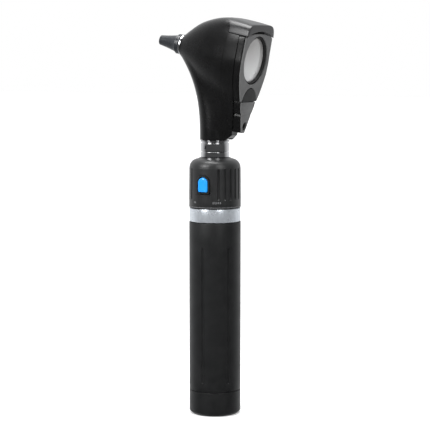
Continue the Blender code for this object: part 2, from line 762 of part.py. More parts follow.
def ear_outline():
    """Hinge ear: a disc round the pivot pin and a wider neck up to the frame."""
    half = EAR_NECK_HALF_ANGLE
    neck = arc((0, 0), EAR_NECK_R, 180 - half, 180 + half, 9)
    return neck + arc((0, 0), EAR_R, half - 180, 180 - half, 21)


def build_pivot_boss(optics, pivot, form_back):
    """Half-disc boss over the frame's ear, with a thin disc round the pin under the lower plate."""
    start = math.degrees(math.acos((FRAME_FOOT_W - PIVOT_W) / BOSS_R))
    half_disc = prism(arc((0, 0), BOSS_R, 180 - start, 180 + start, 18), EAR_TOP_U + GAP, PLATE_FACE_U)
    boss = finish("pivot_boss", half_disc, "boss_black", pivot)
    under = lathe(disc_outline(EAR_R, EAR_TOP_U + GAP, BOSS_DISC_U), 24)
    shape_by(boss, cutter("boss_disc_adder", under, pivot), "UNION")
    shape_by(boss, form_back, "INTERSECT")
    hole = lathe(disc_outline(PIVOT_PIN_R + GAP, EAR_TOP_U, BOSS_DISC_U + 0.1), 24)
    shape_by(boss, cutter("boss_hole_cutter", hole, pivot))
    pin = [(0, 19.9), (PIVOT_PIN_R, 19.9), (PIVOT_PIN_R, BOSS_DISC_U - 0.2), (0, BOSS_DISC_U - 0.2)]
    turned("pivot_pin", "spring_steel", pin, pivot, segments=24)


def lower_plate_zone():
    """Below the boss: a straight top edge, then round the pivot, then down to the tip."""
    top = PIVOT_W - (FRAME_FOOT_W - GAP)
    low = 6.5
    wide = 24.0
    turn_start = math.degrees(math.asin(top / BOSS_R))
    turn_end = math.degrees(math.asin(low / BOSS_R))
    points = []
    for side in (1, -1):
        half = []
        for step in range(7):
            angle = math.radians(turn_start + (turn_end - turn_start) * step / 6)
            half.append((BOSS_R * math.sin(angle), side * BOSS_R * math.cos(angle)))
        half += [(low, side * wide), (PIVOT_W - PLATE_TIP_W, side * wide)]
        points += half if side == 1 else half[::-1]
    return prism(points, PLATE_BACK_U, PLATE_FACE_U)


def build_lower_plate(pivot, port, form_back):
    plate = finish("lower_plate", lower_plate_zone(), "plate_grey", pivot)
    pocket = lathe(disc_outline(EAR_R + GAP, PLATE_BACK_U - 1, BOSS_DISC_U + GAP), 30)
    shape_by(plate, cutter("ear_pocket_cutter", pocket, pivot))
    hole = lathe(disc_outline(PORT_R + GAP, PLATE_BACK_U - 1, PLATE_FACE_U + 1), 24)
    shape_by(plate, cutter("port_hole_cutter", hole, port))
    shape_by(plate, form_back, "INTERSECT")


def build_port(port):
    turned("insufflation_port", "boss_black", tube_outline(PORT_R, 1.3, 14.5, PLATE_FACE_U - 0.6), port, segments=24)


# ---------------------------------------------------------------- nozzle and speculum

def build_nozzle(optics):
    ring = [
        (NOZZLE_BORE, -20.3), (NOZZLE_BORE, -21.8), (NOZZLE_R - 0.5, -21.8), (NOZZLE_R, -21.3),
        (NOZZLE_R, -20.3),
    ]
    turned("nozzle_ring", "polished_chrome", ring, optics)
    seat = [
        (4.2, -15.0), (3.5, -15.0), (3.5, -20.0), (2.3, -30.0), (2.8, -30.0), (4.1, -22.0), (4.2, -20.0),
    ]
    turned("speculum_seat", "satin_aluminium", seat, optics, segments=24)
    turned("fibre_ring", "fibre_clear", tube_outline(5.2, 4.5, -16.4, -15.0), optics, segments=24)


def build_speculum(parent):
    outline = [
        (SPECULUM_FLANGE_R, SPECULUM_BACK_U), (SPECULUM_FLANGE_R, SPECULUM_FLANGE_U + 0.3),
        (SPECULUM_FLANGE_R - 0.5, SPECULUM_FLANGE_U), (5.0, SPECULUM_FLANGE_U - 0.2),
        (SPECULUM_TIP_R, SPECULUM_TIP_U + 0.3), (SPECULUM_TIP_R - 0.3, SPECULUM_TIP_U),
        (2.2, SPECULUM_TIP_U), (3.25, -30.0), (4.45, SPECULUM_BACK_U),
    ]
    turned("ear_speculum", "speculum_black", outline, parent)


def build_model():
    clear_scene()
    cap_axis = holder("cap_axis", (0, 0, 0))
    build_end_cap(cap_axis)
    build_cap_seal(cap_axis)
    build_battery()
    build_barrel()
    build_top_of_handle()

    collar_axis = holder("collar_axis", (0, 0, 0))
    build_collar(collar_axis)
    build_button(collar_axis)

    head_axis = holder("head_axis", (0, 0, 0))
    optics = holder("optics", (0, 0, AXIS_Z), (0, 90 + TILT, 0), head_axis)
    pivot = holder("pivot", (-PIVOT_W, 0, 0), parent=optics)
    port = holder("port", (-PORT_W, 0, 0), parent=optics)
    form_back = cutter("head_form_guide", head_form(0.0), head_axis)
    build_socket(head_axis)
    build_lamp(head_axis)
    build_shell(head_axis, form_back, optics, pivot, port)
    build_lens_frame(optics, pivot, form_back)
    build_pivot_boss(optics, pivot, form_back)
    build_lower_plate(pivot, port, form_back)
    build_port(port)
    build_nozzle(optics)
    build_speculum(holder("speculum_slide", (0, 0, 0), parent=optics))


build_model()
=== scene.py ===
"""Looks of the otoscope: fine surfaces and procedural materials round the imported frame.

Lengths are millimetres and angles degrees; publish() turns them into metres. Inside the
head, u runs along the optical axis towards the lens, w runs up the lens plate, y is across.
"""
import json
import math

import bmesh
import bpy
from mathutils import Matrix, Vector


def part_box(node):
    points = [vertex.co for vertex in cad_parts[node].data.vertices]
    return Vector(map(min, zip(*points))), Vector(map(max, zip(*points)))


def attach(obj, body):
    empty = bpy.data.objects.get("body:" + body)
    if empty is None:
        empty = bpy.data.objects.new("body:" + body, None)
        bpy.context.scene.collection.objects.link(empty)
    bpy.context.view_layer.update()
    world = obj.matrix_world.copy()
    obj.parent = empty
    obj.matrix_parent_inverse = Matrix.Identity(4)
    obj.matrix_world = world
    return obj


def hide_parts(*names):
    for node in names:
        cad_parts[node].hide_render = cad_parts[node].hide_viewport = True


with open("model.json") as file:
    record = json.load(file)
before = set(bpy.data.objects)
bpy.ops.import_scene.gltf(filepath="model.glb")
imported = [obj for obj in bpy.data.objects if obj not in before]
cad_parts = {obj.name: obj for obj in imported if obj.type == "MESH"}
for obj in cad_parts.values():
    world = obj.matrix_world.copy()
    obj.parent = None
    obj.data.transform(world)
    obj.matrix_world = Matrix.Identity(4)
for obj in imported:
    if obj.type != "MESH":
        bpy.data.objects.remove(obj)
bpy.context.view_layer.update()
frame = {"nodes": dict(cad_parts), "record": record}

MM = 0.001


def span(node, axis):
    """Lowest and highest millimetre of a CAD node along an axis."""
    low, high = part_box(node)
    return low[axis] / MM, high[axis] / MM


# Levels and radii read from the frame.
BARREL_LOW, BARREL_HIGH = span("handle_barrel", 2)
RING_LOW, RING_HIGH = span("trim_ring", 2)
COLLAR_LOW, COLLAR_HIGH = span("rheostat_collar", 2)
BOSS_HIGH = span("head_socket", 2)[0] - 0.3
CAP_SHOULDER = BARREL_LOW - 0.3
BARREL_R = span("handle_barrel", 0)[1]
RING_R = span("trim_ring", 0)[1]
COLLAR_R = 15.0
COLLAR_BORE = 12.5
NECK_R = 8.25
POST_R = 5.6
CORE_R = 6.3
SOCKET_TOP = 160.0

# Optical axis and the pieces along it.
TILT = math.radians(11.0)
AXIS_Z = 210.7
FRONT_U = -20.0
BODY_BACK_U = 21.5
PLATE_BACK_U = 21.8
PLATE_FACE_U = 26.8
BROW_U = 27.4
WINDOW_R = 13.65
WALL = 1.8
PIVOT_W = -24.6
BOSS_R = 8.5
EAR_R = 5.2
EAR_NECK_R = 9.7
EAR_NECK_HALF_ANGLE = 35.0
FRAME_TOP_R = 41.0
FRAME_TOP_W = 15.4
FRAME_CROWN_R = 70.0
FACE_SPLIT_U = 25.9
COVER_FRONT_U = 6.0
COVER_FRONT_CURVE = 6.5
FRAME_FOOT_W = -23.6
PLATE_TIP_W = -42.0
PORT_W = -38.0
PORT_R = 2.1
EAR_TOP_U = 23.3
BOSS_DISC_U = 24.8
CLEARANCE = 0.3
BACK_WINDOW_R = 12.7
NOZZLE_BORE = 4.5
PIN_HOLE_R = 1.8
COVER_HALF_ANGLE = math.radians(34)
ABOVE_HEAD_W = 32.0
SIDE_SEAM_U = 13.4

# Collar, lock button and bayonet.
RIB_COUNT = 21
PANEL_HALF_ANGLE = 28.5
RIB_DEPTH = 0.8
RIB_BOTTOM = 126.0
RIB_TOP = 144.2
LINE_Z = 121.9
TICK_Z = 124.7
MARK_ANGLES = (-24.0, -20.0, 24.0, 28.0, 32.0, 36.0, 40.0)
BUTTON_ANGLE = -90.0
BUTTON_WIDTH = 6.0
BUTTON_TALL = 8.3
BUTTON_MIDDLE = 135.05
BUTTON_FRONT = 15.7
BUTTON_BACK = 11.5
PIN_ANGLES = (-105.0, 75.0)
PIN_Z = 156.0
TWIST_RANGE = 30.0

# Finger grooves down the barrel.
GROOVE_COUNT = 6
GROOVE_FIRST = -91.0
GROOVE_BOTTOM = 20.0
GROOVE_TOP = 98.0
GROOVE_R = 0.8

# Studio: each softbox has its width, height and power, and its place as azimuth, distance and height.
SOFTBOXES = (
    ("top_softbox", 0.5, 0.4, 6.0, (0.0, 0.0, 0.75)),
    ("front_softbox", 0.22, 0.3, 2.0, (-22, 0.5, 0.42)),
    ("side_softbox", 0.2, 0.3, 1.0, (52, 0.55, 0.42)),
)
FLOOR_NEAR = 0.35
FLOOR_FAR = 0.85
VIEW_DISTANCE = 0.89
VIEW_HEIGHT = 0.21
VIEW_AZIMUTH = 28.0
WORLD_FRONT = 0.08
WORLD_BACK = 0.9
CENTRE_Z = 0.1155

# Head's outer form, as the frame has it.
STEM_BASE = 160.3
STEM_R = 8.7
STEM_FLARE = 12.0
STEM_FLARE_HEIGHT = 47.0
STEM_FLARE_POWER = 2.7
STEM_NARROWING = 2.5
STEM_FADE_START = 203.0
STEM_FADE_HEIGHT = 11.0
BLEND = 1.6
FUNNEL_WIDTHS = ((-20, 6.25), (-14, 8.8), (-5, 11.8), (5, 14.0), (15, 15.6), (27, 16.4))
FUNNEL_TOPS = (
    (-20, 6.3), (-16.4, 9.9), (-11, 14.4), (-5, 17.6), (2.6, 20.3), (10, 21.5), (21, 21.1), (28, 20.4),
)
FUNNEL_DEPTHS = ((-20, 6.3), (-14, 10.0), (-5, 16.0), (5, 22.0), (15, 27.0), (27, 31.0))
FAN_X = 3.0
FAN_Z = 205.0

OPTICS = Matrix.Translation((0, 0, AXIS_Z)) @ Matrix.Rotation(math.pi / 2 + TILT, 4, "Y")
PIVOT = OPTICS @ Matrix.Translation((-PIVOT_W, 0, 0))
PORT = OPTICS @ Matrix.Translation((-PORT_W, 0, 0))
BUTTON_PLACE = Matrix.Translation((0, 0, BUTTON_MIDDLE)) @ Matrix.Rotation(math.pi / 2, 4, "X")
UPRIGHT = Matrix.Identity(4)


# ---------------- materials

def new_shader(name):
    made = bpy.data.materials.new(name)
    made.use_nodes = True
    return made, made.node_tree, made.node_tree.nodes["Principled BSDF"]


def set_inputs(node, values):
    for name, value in values.items():
        node.inputs[name].default_value = value


def noise(tree, scale, detail=3.0, stretch=None):
    """A noise texture in the object's own coordinates."""
    place = tree.nodes.new("ShaderNodeTexCoord")
    source = place.outputs["Object"]
    if stretch:
        mapping = tree.nodes.new("ShaderNodeMapping")
        set_inputs(mapping, {"Scale": stretch})
        tree.links.new(source, mapping.inputs["Vector"])
        source = mapping.outputs["Vector"]
    texture = tree.nodes.new("ShaderNodeTexNoise")
    set_inputs(texture, {"Scale": scale, "Detail": detail})
    tree.links.new(source, texture.inputs["Vector"])
    return texture.outputs["Fac"]


def spread(tree, source, low, high, start=0.3, end=0.7):
    """Map a noise onto a range of values."""
    node = tree.nodes.new("ShaderNodeMapRange")
    set_inputs(node, {"From Min": start, "From Max": end, "To Min": low, "To Max": high})
    tree.links.new(source, node.inputs["Value"])
    return node.outputs["Result"]


def tint(tree, source, first, second):
    """Mix two colours by a noise."""
    node = tree.nodes.new("ShaderNodeMix")
    node.data_type = "RGBA"
    set_inputs(node, {"A": (*first, 1), "B": (*second, 1)})
    tree.links.new(spread(tree, source, 0.0, 1.0), node.inputs["Factor"])
    return node.outputs["Result"]


def bump(tree, source, depth):
    """A bump node over a height, depth in millimetres."""
    node = tree.nodes.new("ShaderNodeBump")
    set_inputs(node, {"Strength": 1.0, "Distance": depth * MM})
    tree.links.new(source, node.inputs["Height"])
    return node.outputs["Normal"]


def moulded(name, first, second, roughness, specular, grain=0.012, grain_size=0.35, coat=0.0):
    """Moulded plastic or rubber: faint mottling, uneven gloss and a fine grain."""
    made, tree, shader = new_shader(name)
    cloud = noise(tree, 160.0)
    tree.links.new(tint(tree, cloud, first, second), shader.inputs["Base Color"])
    smear = noise(tree, 90.0, 5.0)
    tree.links.new(spread(tree, smear, roughness[0], roughness[1]), shader.inputs["Roughness"])
    fine = noise(tree, 1000.0 / grain_size, 2.0)
    tree.links.new(bump(tree, fine, grain), shader.inputs["Normal"])
    set_inputs(shader, {"Specular IOR Level": specular, "Coat Weight": coat, "Coat Roughness": 0.12})
    return made


def turned_metal(name, first, second, roughness, line_depth, line_size, metallic=1.0):
    """Metal off a lathe: fine rings across the axis and a soft smear of wear."""
    made, tree, shader = new_shader(name)
    smear = noise(tree, 120.0, 4.0)
    tree.links.new(tint(tree, smear, first, second), shader.inputs["Base Color"])
    wear = noise(tree, 260.0, 6.0)
    tree.links.new(spread(tree, wear, roughness[0], roughness[1]), shader.inputs["Roughness"])
    rings = noise(tree, 1000.0 / line_size, 2.0, stretch=(0.01, 0.01, 1.0))
    tree.links.new(bump(tree, rings, line_depth), shader.inputs["Normal"])
    set_inputs(shader, {"Metallic": metallic})
    return made


def lens_glass(name, low, high, low_colour, high_colour):
    """Coated glass whose colour runs from low_colour at the low level to high_colour at the high level; on
    the magnifier this is a painted reflection, paler towards its lower edge. low and high are levels in
    millimetres.
    """
    made, tree, shader = new_shader(name)
    place = tree.nodes.new("ShaderNodeTexCoord")
    split = tree.nodes.new("ShaderNodeSeparateXYZ")
    tree.links.new(place.outputs["Object"], split.inputs["Vector"])
    # painted reflection: the colour ramps with height, with a faint mottle laid over it; on the magnifier it
    # pales towards the bottom like a reflection of bright surroundings
    painted_reflection_ramp = spread(tree, split.outputs["Z"], 0.3, 0.7, low * MM, high * MM)
    mottle_and_painted_reflection = tree.nodes.new("ShaderNodeMath")
    mottle_and_painted_reflection.operation = "MULTIPLY_ADD"
    mottle_and_painted_reflection.inputs[1].default_value = 0.06
    tree.links.new(noise(tree, 90.0, 2.0), mottle_and_painted_reflection.inputs[0])
    tree.links.new(painted_reflection_ramp, mottle_and_painted_reflection.inputs[2])
    tree.links.new(tint(tree, mottle_and_painted_reflection.outputs["Value"], low_colour, high_colour), shader.inputs["Base Color"])
    tree.links.new(spread(tree, noise(tree, 150.0, 3.0), 0.05, 0.12), shader.inputs["Roughness"])
    set_inputs(shader, {"Transmission Weight": 0.12, "IOR": 1.5, "Coat Weight": 0.4, "Coat Roughness": 0.04})
    return made


def make_materials():
    return {
        "black_plastic": moulded(
            "satin_black_moulding", (0.0035, 0.0035, 0.0036), (0.005, 0.005, 0.0052),
            (0.22, 0.29), 0.4, 0.004),
        "cover_plastic": moulded(
            "cover_black_moulding", (0.010, 0.010, 0.011), (0.014, 0.014, 0.015),
            (0.30, 0.38), 0.5, 0.004),
        "grip_black": moulded(
            "grained_grip", (0.007, 0.0075, 0.008), (0.011, 0.0115, 0.012),
            (0.40, 0.50), 0.4, 0.02, 0.45),
        "collar_plastic": moulded(
            "collar_satin_black", (0.013, 0.0135, 0.014), (0.018, 0.0185, 0.019),
            (0.34, 0.42), 0.6, 0.006),
        # painted light: a grey that stands for the lit look of the plates' matt faces, whose sides are drawn
        # black
        "plate_grey": moulded(
            "plate_face_painted_lit_grey", (0.088, 0.088, 0.089), (0.105, 0.105, 0.105),
            (0.5, 0.6), 0.35, 0.01, 0.25),
        "boss_black": moulded(
            "matt_black_boss", (0.010, 0.010, 0.010), (0.016, 0.016, 0.016),
            (0.5, 0.6), 0.3, 0.015, 0.3),
        "speculum_black": moulded(
            "speculum_moulding", (0.016, 0.018, 0.022), (0.024, 0.026, 0.030),
            (0.28, 0.36), 0.5, 0.003),
        "seal_rubber": moulded(
            "seal_rubber_soft", (0.012, 0.012, 0.012), (0.02, 0.02, 0.02),
            (0.7, 0.85), 0.3, 0.02),
        "button_blue": moulded(
            "button_blue_gloss", (0.008, 0.27, 0.80), (0.012, 0.32, 0.86),
            (0.22, 0.3), 0.5, 0.002, 0.3, coat=0.4),
        "mark_grey": moulded(
            "mark_paint", (0.17, 0.175, 0.18), (0.23, 0.235, 0.24),
            (0.5, 0.6), 0.3, 0.01, 0.1),
        "polished_chrome": turned_metal(
            "polished_chrome_plate", (0.60, 0.605, 0.62), (0.70, 0.705, 0.72),
            (0.08, 0.15), 0.0012, 0.25),
        "satin_aluminium": turned_metal(
            "satin_turned_aluminium", (0.60, 0.64, 0.69), (0.67, 0.71, 0.76),
            (0.26, 0.34), 0.003, 0.12, 0.65),
        "contact_brass": turned_metal(
            "gold_contact", (0.72, 0.52, 0.2), (0.8, 0.6, 0.26), (0.18, 0.28), 0.002, 0.15),
        "spring_steel": turned_metal(
            "spring_wire", (0.42, 0.42, 0.44), (0.5, 0.5, 0.52), (0.22, 0.32), 0.002, 0.2),
        "insulator_white": moulded(
            "insulator_moulding", (0.62, 0.61, 0.57), (0.7, 0.69, 0.65), (0.45, 0.55), 0.4, 0.01),
        "cell_blue": moulded(
            "cell_sleeve", (0.02, 0.09, 0.3), (0.03, 0.12, 0.36), (0.3, 0.4), 0.5, 0.004),
        "board_green": moulded(
            "solder_mask", (0.012, 0.12, 0.05), (0.02, 0.17, 0.07), (0.35, 0.45), 0.5, 0.006),
        "lamp_glass": lens_glass(
            "lamp_envelope", 0.0, 300.0, (0.40, 0.41, 0.42), (0.47, 0.47, 0.48)),
        "fibre_clear": moulded(
            "light_guide", (0.6, 0.62, 0.66), (0.7, 0.72, 0.75), (0.15, 0.25), 0.5, 0.002),
        # painted reflection: the magnifier's colour pales towards its lower edge, standing in for a
        # reflection of the bright surroundings
        "lens_glass": lens_glass(
            "magnifier_glass_painted_reflection", 192.0, 216.0, (0.66, 0.665, 0.67), (0.27, 0.265, 0.26)),
    }


def paint_cad_nodes(looks):
    """Give every carried-over CAD node its procedural material, by its record slot."""
    for part in frame["record"]["subparts"]:
        node = frame["nodes"][part["node"]]
        for slot in node.material_slots:
            slot.material = looks[part["material_slot"]]
        if not node.material_slots:
            node.data.materials.append(looks[part["material_slot"]])


# ---------------- mesh tools

def publish(name, bm, look=None, body=None, stands_for=(), place=UPRIGHT, sharp=32.0):
    """Turn a bmesh into a piece that rides on a body and stands for CAD nodes."""
    bmesh.ops.recalc_face_normals(bm, faces=bm.faces)
    if bm.calc_volume(signed=True) < 0:
        bmesh.ops.reverse_faces(bm, faces=bm.faces)
    bm.transform(Matrix.Scale(MM, 4) @ place)
    mesh = bpy.data.meshes.new(name)
    bm.to_mesh(mesh)
    bm.free()
    mesh.shade_smooth()
    mesh.set_sharp_from_angle(angle=math.radians(sharp))
    piece = bpy.data.objects.new(name, mesh)
    bpy.context.scene.collection.objects.link(piece)
    if look:
        mesh.materials.append(LOOKS[look])
    if body:
        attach(piece, body)
        if stands_for:
            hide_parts(*stands_for)
    return piece


def tool(bm, place=UPRIGHT):
    """A temporary solid used to carve another."""
    return publish("carving_tool", bm, place=place)


def carve(piece, cutter, operation="DIFFERENCE"):
    """Apply a Boolean at once and remove the tool."""
    modifier = piece.modifiers.new("carve", "BOOLEAN")
    modifier.object = cutter
    modifier.operation = operation
    modifier.solver = "EXACT"
    apply_modifiers(piece)
    bpy.data.objects.remove(cutter, do_unlink=True)


def bore(piece, radius, low, high, segments, place):
    """Cut a round hole."""
    carve(piece, tool(lathe(disc_outline(radius, low, high), segments), place))


def apply_modifiers(piece):
    bpy.context.view_layer.update()
    evaluated = piece.evaluated_get(bpy.context.evaluated_depsgraph_get())
    mesh = bpy.data.meshes.new_from_object(evaluated)
    piece.modifiers.clear()
    piece.data = mesh


def soften(piece, width, angle=38.0, segments=3):
    """Round a piece's hard edges a little, as a mould or a file leaves them."""
    bevel = piece.modifiers.new("edge", "BEVEL")
    bevel.width = width * MM
    bevel.segments = segments
    bevel.limit_method = "ANGLE"
    bevel.angle_limit = math.radians(angle)
    bevel.harden_normals = True
    apply_modifiers(piece)


def rounded(outline, radius, steps=3):
    """Replace each corner of a closed outline by a small curve."""
    points = []
    count = len(outline)
    for index, corner in enumerate(outline):
        here = Vector(corner)
        before = Vector(outline[index - 1])
        after = Vector(outline[(index + 1) % count])
        if here.x <= 0 or (before - here).length < 1e-6 or (after - here).length < 1e-6:
            points.append(tuple(here))
            continue
        cut = min(radius, 0.4 * (before - here).length, 0.4 * (after - here).length)
        start = here + (before - here).normalized() * cut
        end = here + (after - here).normalized() * cut
        for step in range(steps + 1):
            t = step / steps
            points.append(tuple(start * (1 - t) ** 2 + here * 2 * t * (1 - t) + end * t ** 2))
    return points


def even_turns(segments):
    return [2 * math.pi * step / segments for step in range(segments)]


def lathe(outline, segments=96, turns=None, radius_at=None):
    """Turn a closed outline of (radius, z) points about Z; radius_at may vary it round the turn."""
    turns = turns or even_turns(segments)
    segments = len(turns)
    bm = bmesh.new()
    rings = []
    for radius, z in outline:
        if radius <= 1e-6:
            rings.append([bm.verts.new((0, 0, z))] * segments)
            continue
        ring = []
        for angle in turns:
            wide = radius_at(radius, z, angle) if radius_at else radius
            ring.append(bm.verts.new((wide * math.cos(angle), wide * math.sin(angle), z)))
        rings.append(ring)
    for low, high in zip(rings, rings[1:] + rings[:1]):
        for step in range(segments):
            after = (step + 1) % segments
            distinct = list(dict.fromkeys([low[step], low[after], high[after], high[step]]))
            if len(distinct) > 2:
                bm.faces.new(distinct)
    return bm


def turned(name, outline, segments, look, body, stands_for, place=UPRIGHT):
    """A finished piece off a lathe, in the given look."""
    publish(name, lathe(outline, segments), look, body, stands_for, place)


def arc(centre, radius, start, end, steps):
    """Points on a circle in the plane, angles in degrees, both ends included."""
    points = []
    for step in range(steps + 1):
        angle = math.radians(start + (end - start) * step / steps)
        points.append((centre[0] + radius * math.cos(angle), centre[1] + radius * math.sin(angle)))
    return points


def prism(outline, low, high):
    """Extrude a closed outline of (x, y) points along Z."""
    bm = bmesh.new()
    bottom = [bm.verts.new((x, y, low)) for x, y in outline]
    top = [bm.verts.new((x, y, high)) for x, y in outline]
    bm.faces.new(bottom)
    bm.faces.new(top)
    join_rings(bm, (bottom, top))
    return bm


def join_rings(bm, rings):
    """Faces between each ring of points and the next."""
    for low, high in zip(rings, rings[1:]):
        for step in range(len(low)):
            after = (step + 1) % len(low)
            bm.faces.new((low[step], low[after], high[after], high[step]))


def join_strips(bm, rows):
    """Faces between each open row of points and the next."""
    for near, far in zip(rows, rows[1:]):
        for step in range(len(near) - 1):
            bm.faces.new((near[step], near[step + 1], far[step + 1], far[step]))


def disc_outline(radius, low, high):
    return [(0, low), (radius, low), (radius, high), (0, high)]


def smooth_through(points, at):
    """A smooth curve through (x, y) points, level beyond its ends."""
    if at <= points[0][0]:
        return points[0][1]
    if at >= points[-1][0]:
        return points[-1][1]
    index = max(i for i in range(len(points) - 1) if points[i][0] <= at)
    slopes = []
    for i in (index, index + 1):
        before = points[max(i - 1, 0)]
        after = points[min(i + 1, len(points) - 1)]
        slopes.append((after[1] - before[1]) / (after[0] - before[0]))
    (x0, y0), (x1, y1) = points[index], points[index + 1]
    reach_x = x1 - x0
    t = (at - x0) / reach_x
    return (
        y0 * (2 * t ** 3 - 3 * t ** 2 + 1) + slopes[0] * reach_x * (t ** 3 - 2 * t ** 2 + t)
        + y1 * (3 * t ** 2 - 2 * t ** 3) + slopes[1] * reach_x * (t ** 3 - t ** 2)
    )


def tabulated(points, low=-30.0, high=36.0, steps=660):
    """Sample a smooth curve densely, so that reading it is quick."""
    values = [smooth_through(points, low + (high - low) * step / steps) for step in range(steps + 1)]

    def read(at):
        place = min(max((at - low) / (high - low) * steps, 0.0), steps - 1e-6)
        index = int(place)
        return values[index] + (values[index + 1] - values[index]) * (place - index)

    return read


funnel_width = tabulated(FUNNEL_WIDTHS)
funnel_top = tabulated(FUNNEL_TOPS)
funnel_depth = tabulated(FUNNEL_DEPTHS)
LEAN_COS = math.cos(TILT)
LEAN_SIN = math.sin(TILT)


# ---------------- the head's form

def optical_coordinates(x, z):
    """Turn x and z into u along the optical axis and w up the plate."""
    rise = z - AXIS_Z
    return x * LEAN_COS - rise * LEAN_SIN, x * LEAN_SIN + rise * LEAN_COS


def row_coordinates(u, w):
    """The x and z of a point given by u and w."""
    return u * LEAN_COS + w * LEAN_SIN, AXIS_Z - u * LEAN_SIN + w * LEAN_COS


def funnel_half_width(u, w, inset):
    """Half the width of the funnel round the optical axis, negative outside it."""
    height = (funnel_top(u) if w > 0 else funnel_depth(u)) - inset
    width = funnel_width(u) - inset
    along = min(max((u - FRONT_U) / (PLATE_FACE_U - FRONT_U), 0.0), 1.0)
    power = 2.0 + 4.5 * along ** 1.5 if w > 0 else 2.0 - 0.3 * along
    ratio = abs(w) / height
    if ratio >= 1:
        return height - abs(w)
    return width * (1 - ratio ** power) ** (1 / power)


def stem_half_width(x, z, inset):
    """Half the width of the stem between the neck and the lens plate, negative outside it."""
    rise = max(z - STEM_BASE, 0.0) / STEM_FLARE_HEIGHT
    front = -(STEM_R + STEM_FLARE * rise ** STEM_FLARE_POWER) + inset
    radius = STEM_R - STEM_NARROWING * rise ** 2 - inset
    centre = front + radius
    back = (PLATE_FACE_U + (z - AXIS_Z) * LEAN_SIN) / LEAN_COS
    back_w = optical_coordinates(back, z)[1]
    back_half = min(max(5.9 + 0.42 * (back_w + 31.0), 0.8), 15.5) - inset
    if x < front:
        return x - front
    half = math.sqrt(max(radius ** 2 - (x - centre) ** 2, 0.0))
    if x > centre:
        half = max(half, radius + (back_half - radius) * (x - centre) / (back - centre))
    if z > STEM_FADE_START:
        fade = (z - STEM_FADE_START) / STEM_FADE_HEIGHT
        if fade >= 1:
            return -(fade - 1) * STEM_FADE_HEIGHT
        half *= math.sqrt(1 - fade ** 2)
    return half


def head_half_width(x, z, inset=0.0):
    u, w = optical_coordinates(x, z)
    funnel = funnel_half_width(u, w, inset)
    stem = stem_half_width(x, z, inset)
    return 0.5 * (funnel + stem + math.hypot(funnel - stem, BLEND))


def reach(start, direction, inset, front_u, back_u):
    """How far a ray from inside the head goes before it leaves the form."""
    near, far = 0.0, 70.0
    for _ in range(22):
        middle = 0.5 * (near + far)
        x = start.x + direction.x * middle
        y = start.y + direction.y * middle
        z = start.z + direction.z * middle
        u = x * LEAN_COS - (z - AXIS_Z) * LEAN_SIN
        if u > back_u or u < front_u or abs(y) > head_half_width(x, z, inset):
            far = middle
        else:
            near = middle
    return near


def head_form(inset=0.0, columns=120, stem_rows=34, fan_rows=40, base=STEM_BASE, front_u=-26.0, back_u=34.0):
    """The head's closed outer form, or its hollow when inset, sampled by rays."""
    bm = bmesh.new()
    rows = []
    for row in range(stem_rows):
        share = row / stem_rows
        rows.append((Vector((FAN_X * share, 0, base + (FAN_Z - base) * share)), 0.0))
    for row in range(fan_rows):
        rows.append((Vector((FAN_X, 0, FAN_Z)), math.radians(88.5) * row / (fan_rows - 1)))
    turns = []
    for column in range(columns):
        even = 2 * math.pi * (column + 0.5) / columns
        turns.append(even + 0.38 * math.sin(even))
    rings = []
    for start, elevation in rows:
        ring = []
        for turn in turns:
            direction = Vector((
                math.cos(elevation) * math.cos(turn),
                math.cos(elevation) * math.sin(turn),
                math.sin(elevation),
            ))
            ring.append(bm.verts.new(start + direction * reach(start, direction, inset, front_u, back_u)))
        rings.append(ring)
    join_rings(bm, rings)
    bm.faces.new(rings[0])
    bm.faces.new(rings[-1])
    return bm


def slice_off(bm, u, keep_below):
    """Cut the form square to the optical axis and close the cut."""
    along = Vector((LEAN_COS, 0, -LEAN_SIN))
    on_axis = Vector((0, 0, AXIS_Z)) + along * u
    cut_away(bm, on_axis, along if keep_below else -along)


def cut_away(bm, point, normal):
    """Remove what lies ahead of a plane and close the cut."""
    result = bmesh.ops.bisect_plane(
        bm, geom=bm.verts[:] + bm.edges[:] + bm.faces[:], dist=1e-4,
        plane_co=point, plane_no=normal, clear_outer=True,
    )
    rim = [item for item in result["geom_cut"] if isinstance(item, bmesh.types.BMEdge)]
    bmesh.ops.edgeloop_fill(bm, edges=rim)


def section_reach(u, angle, centre_w=0.0):
    """Distance from (y 0, w centre_w) to the form at one u, along an angle from straight up."""
    near, far = 0.0, 70.0
    for _ in range(24):
        middle = 0.5 * (near + far)
        x, z = row_coordinates(u, centre_w + middle * math.cos(angle))
        if abs(middle * math.sin(angle)) > head_half_width(x, z):
            far = middle
        else:
            near = middle
    return near


# ---------------- head pieces

def make_head_shell():
    bm = head_form()
    slice_off(bm, FRONT_U, keep_below=False)
    slice_off(bm, BODY_BACK_U, keep_below=True)
    cut_away(bm, Vector((9.2, 0, STEM_BASE)), Vector((0.62, 0, -0.78)))
    shell = publish("head_shell_fine", bm)
    hollow = head_form(WALL, 48, 16, 16, base=STEM_BASE - 2.0)
    slice_off(hollow, FRONT_U + WALL, keep_below=False)
    slice_off(hollow, BODY_BACK_U - WALL, keep_below=True)
    carve(shell, tool(hollow))
    back = BODY_BACK_U
    bore(shell, NOZZLE_BORE, FRONT_U - 3, FRONT_U + 4, 64, OPTICS)
    bore(shell, BACK_WINDOW_R + 0.1, back - 4, back + 3, 96, OPTICS)
    carve(shell, tool(cover_zone(FRAME_TOP_R + 0.2, COVER_FRONT_U - 0.15, back + 5), OPTICS))
    bore(shell, PIN_HOLE_R, back - 4, back + 2, 32, PIVOT)
    bore(shell, PORT_R + CLEARANCE, 12.0, back + 2, 32, PORT)
    carve(shell, side_seam_tool())
    adopt(shell, "head_shell_fine", "black_plastic", "head", ["head_shell"])


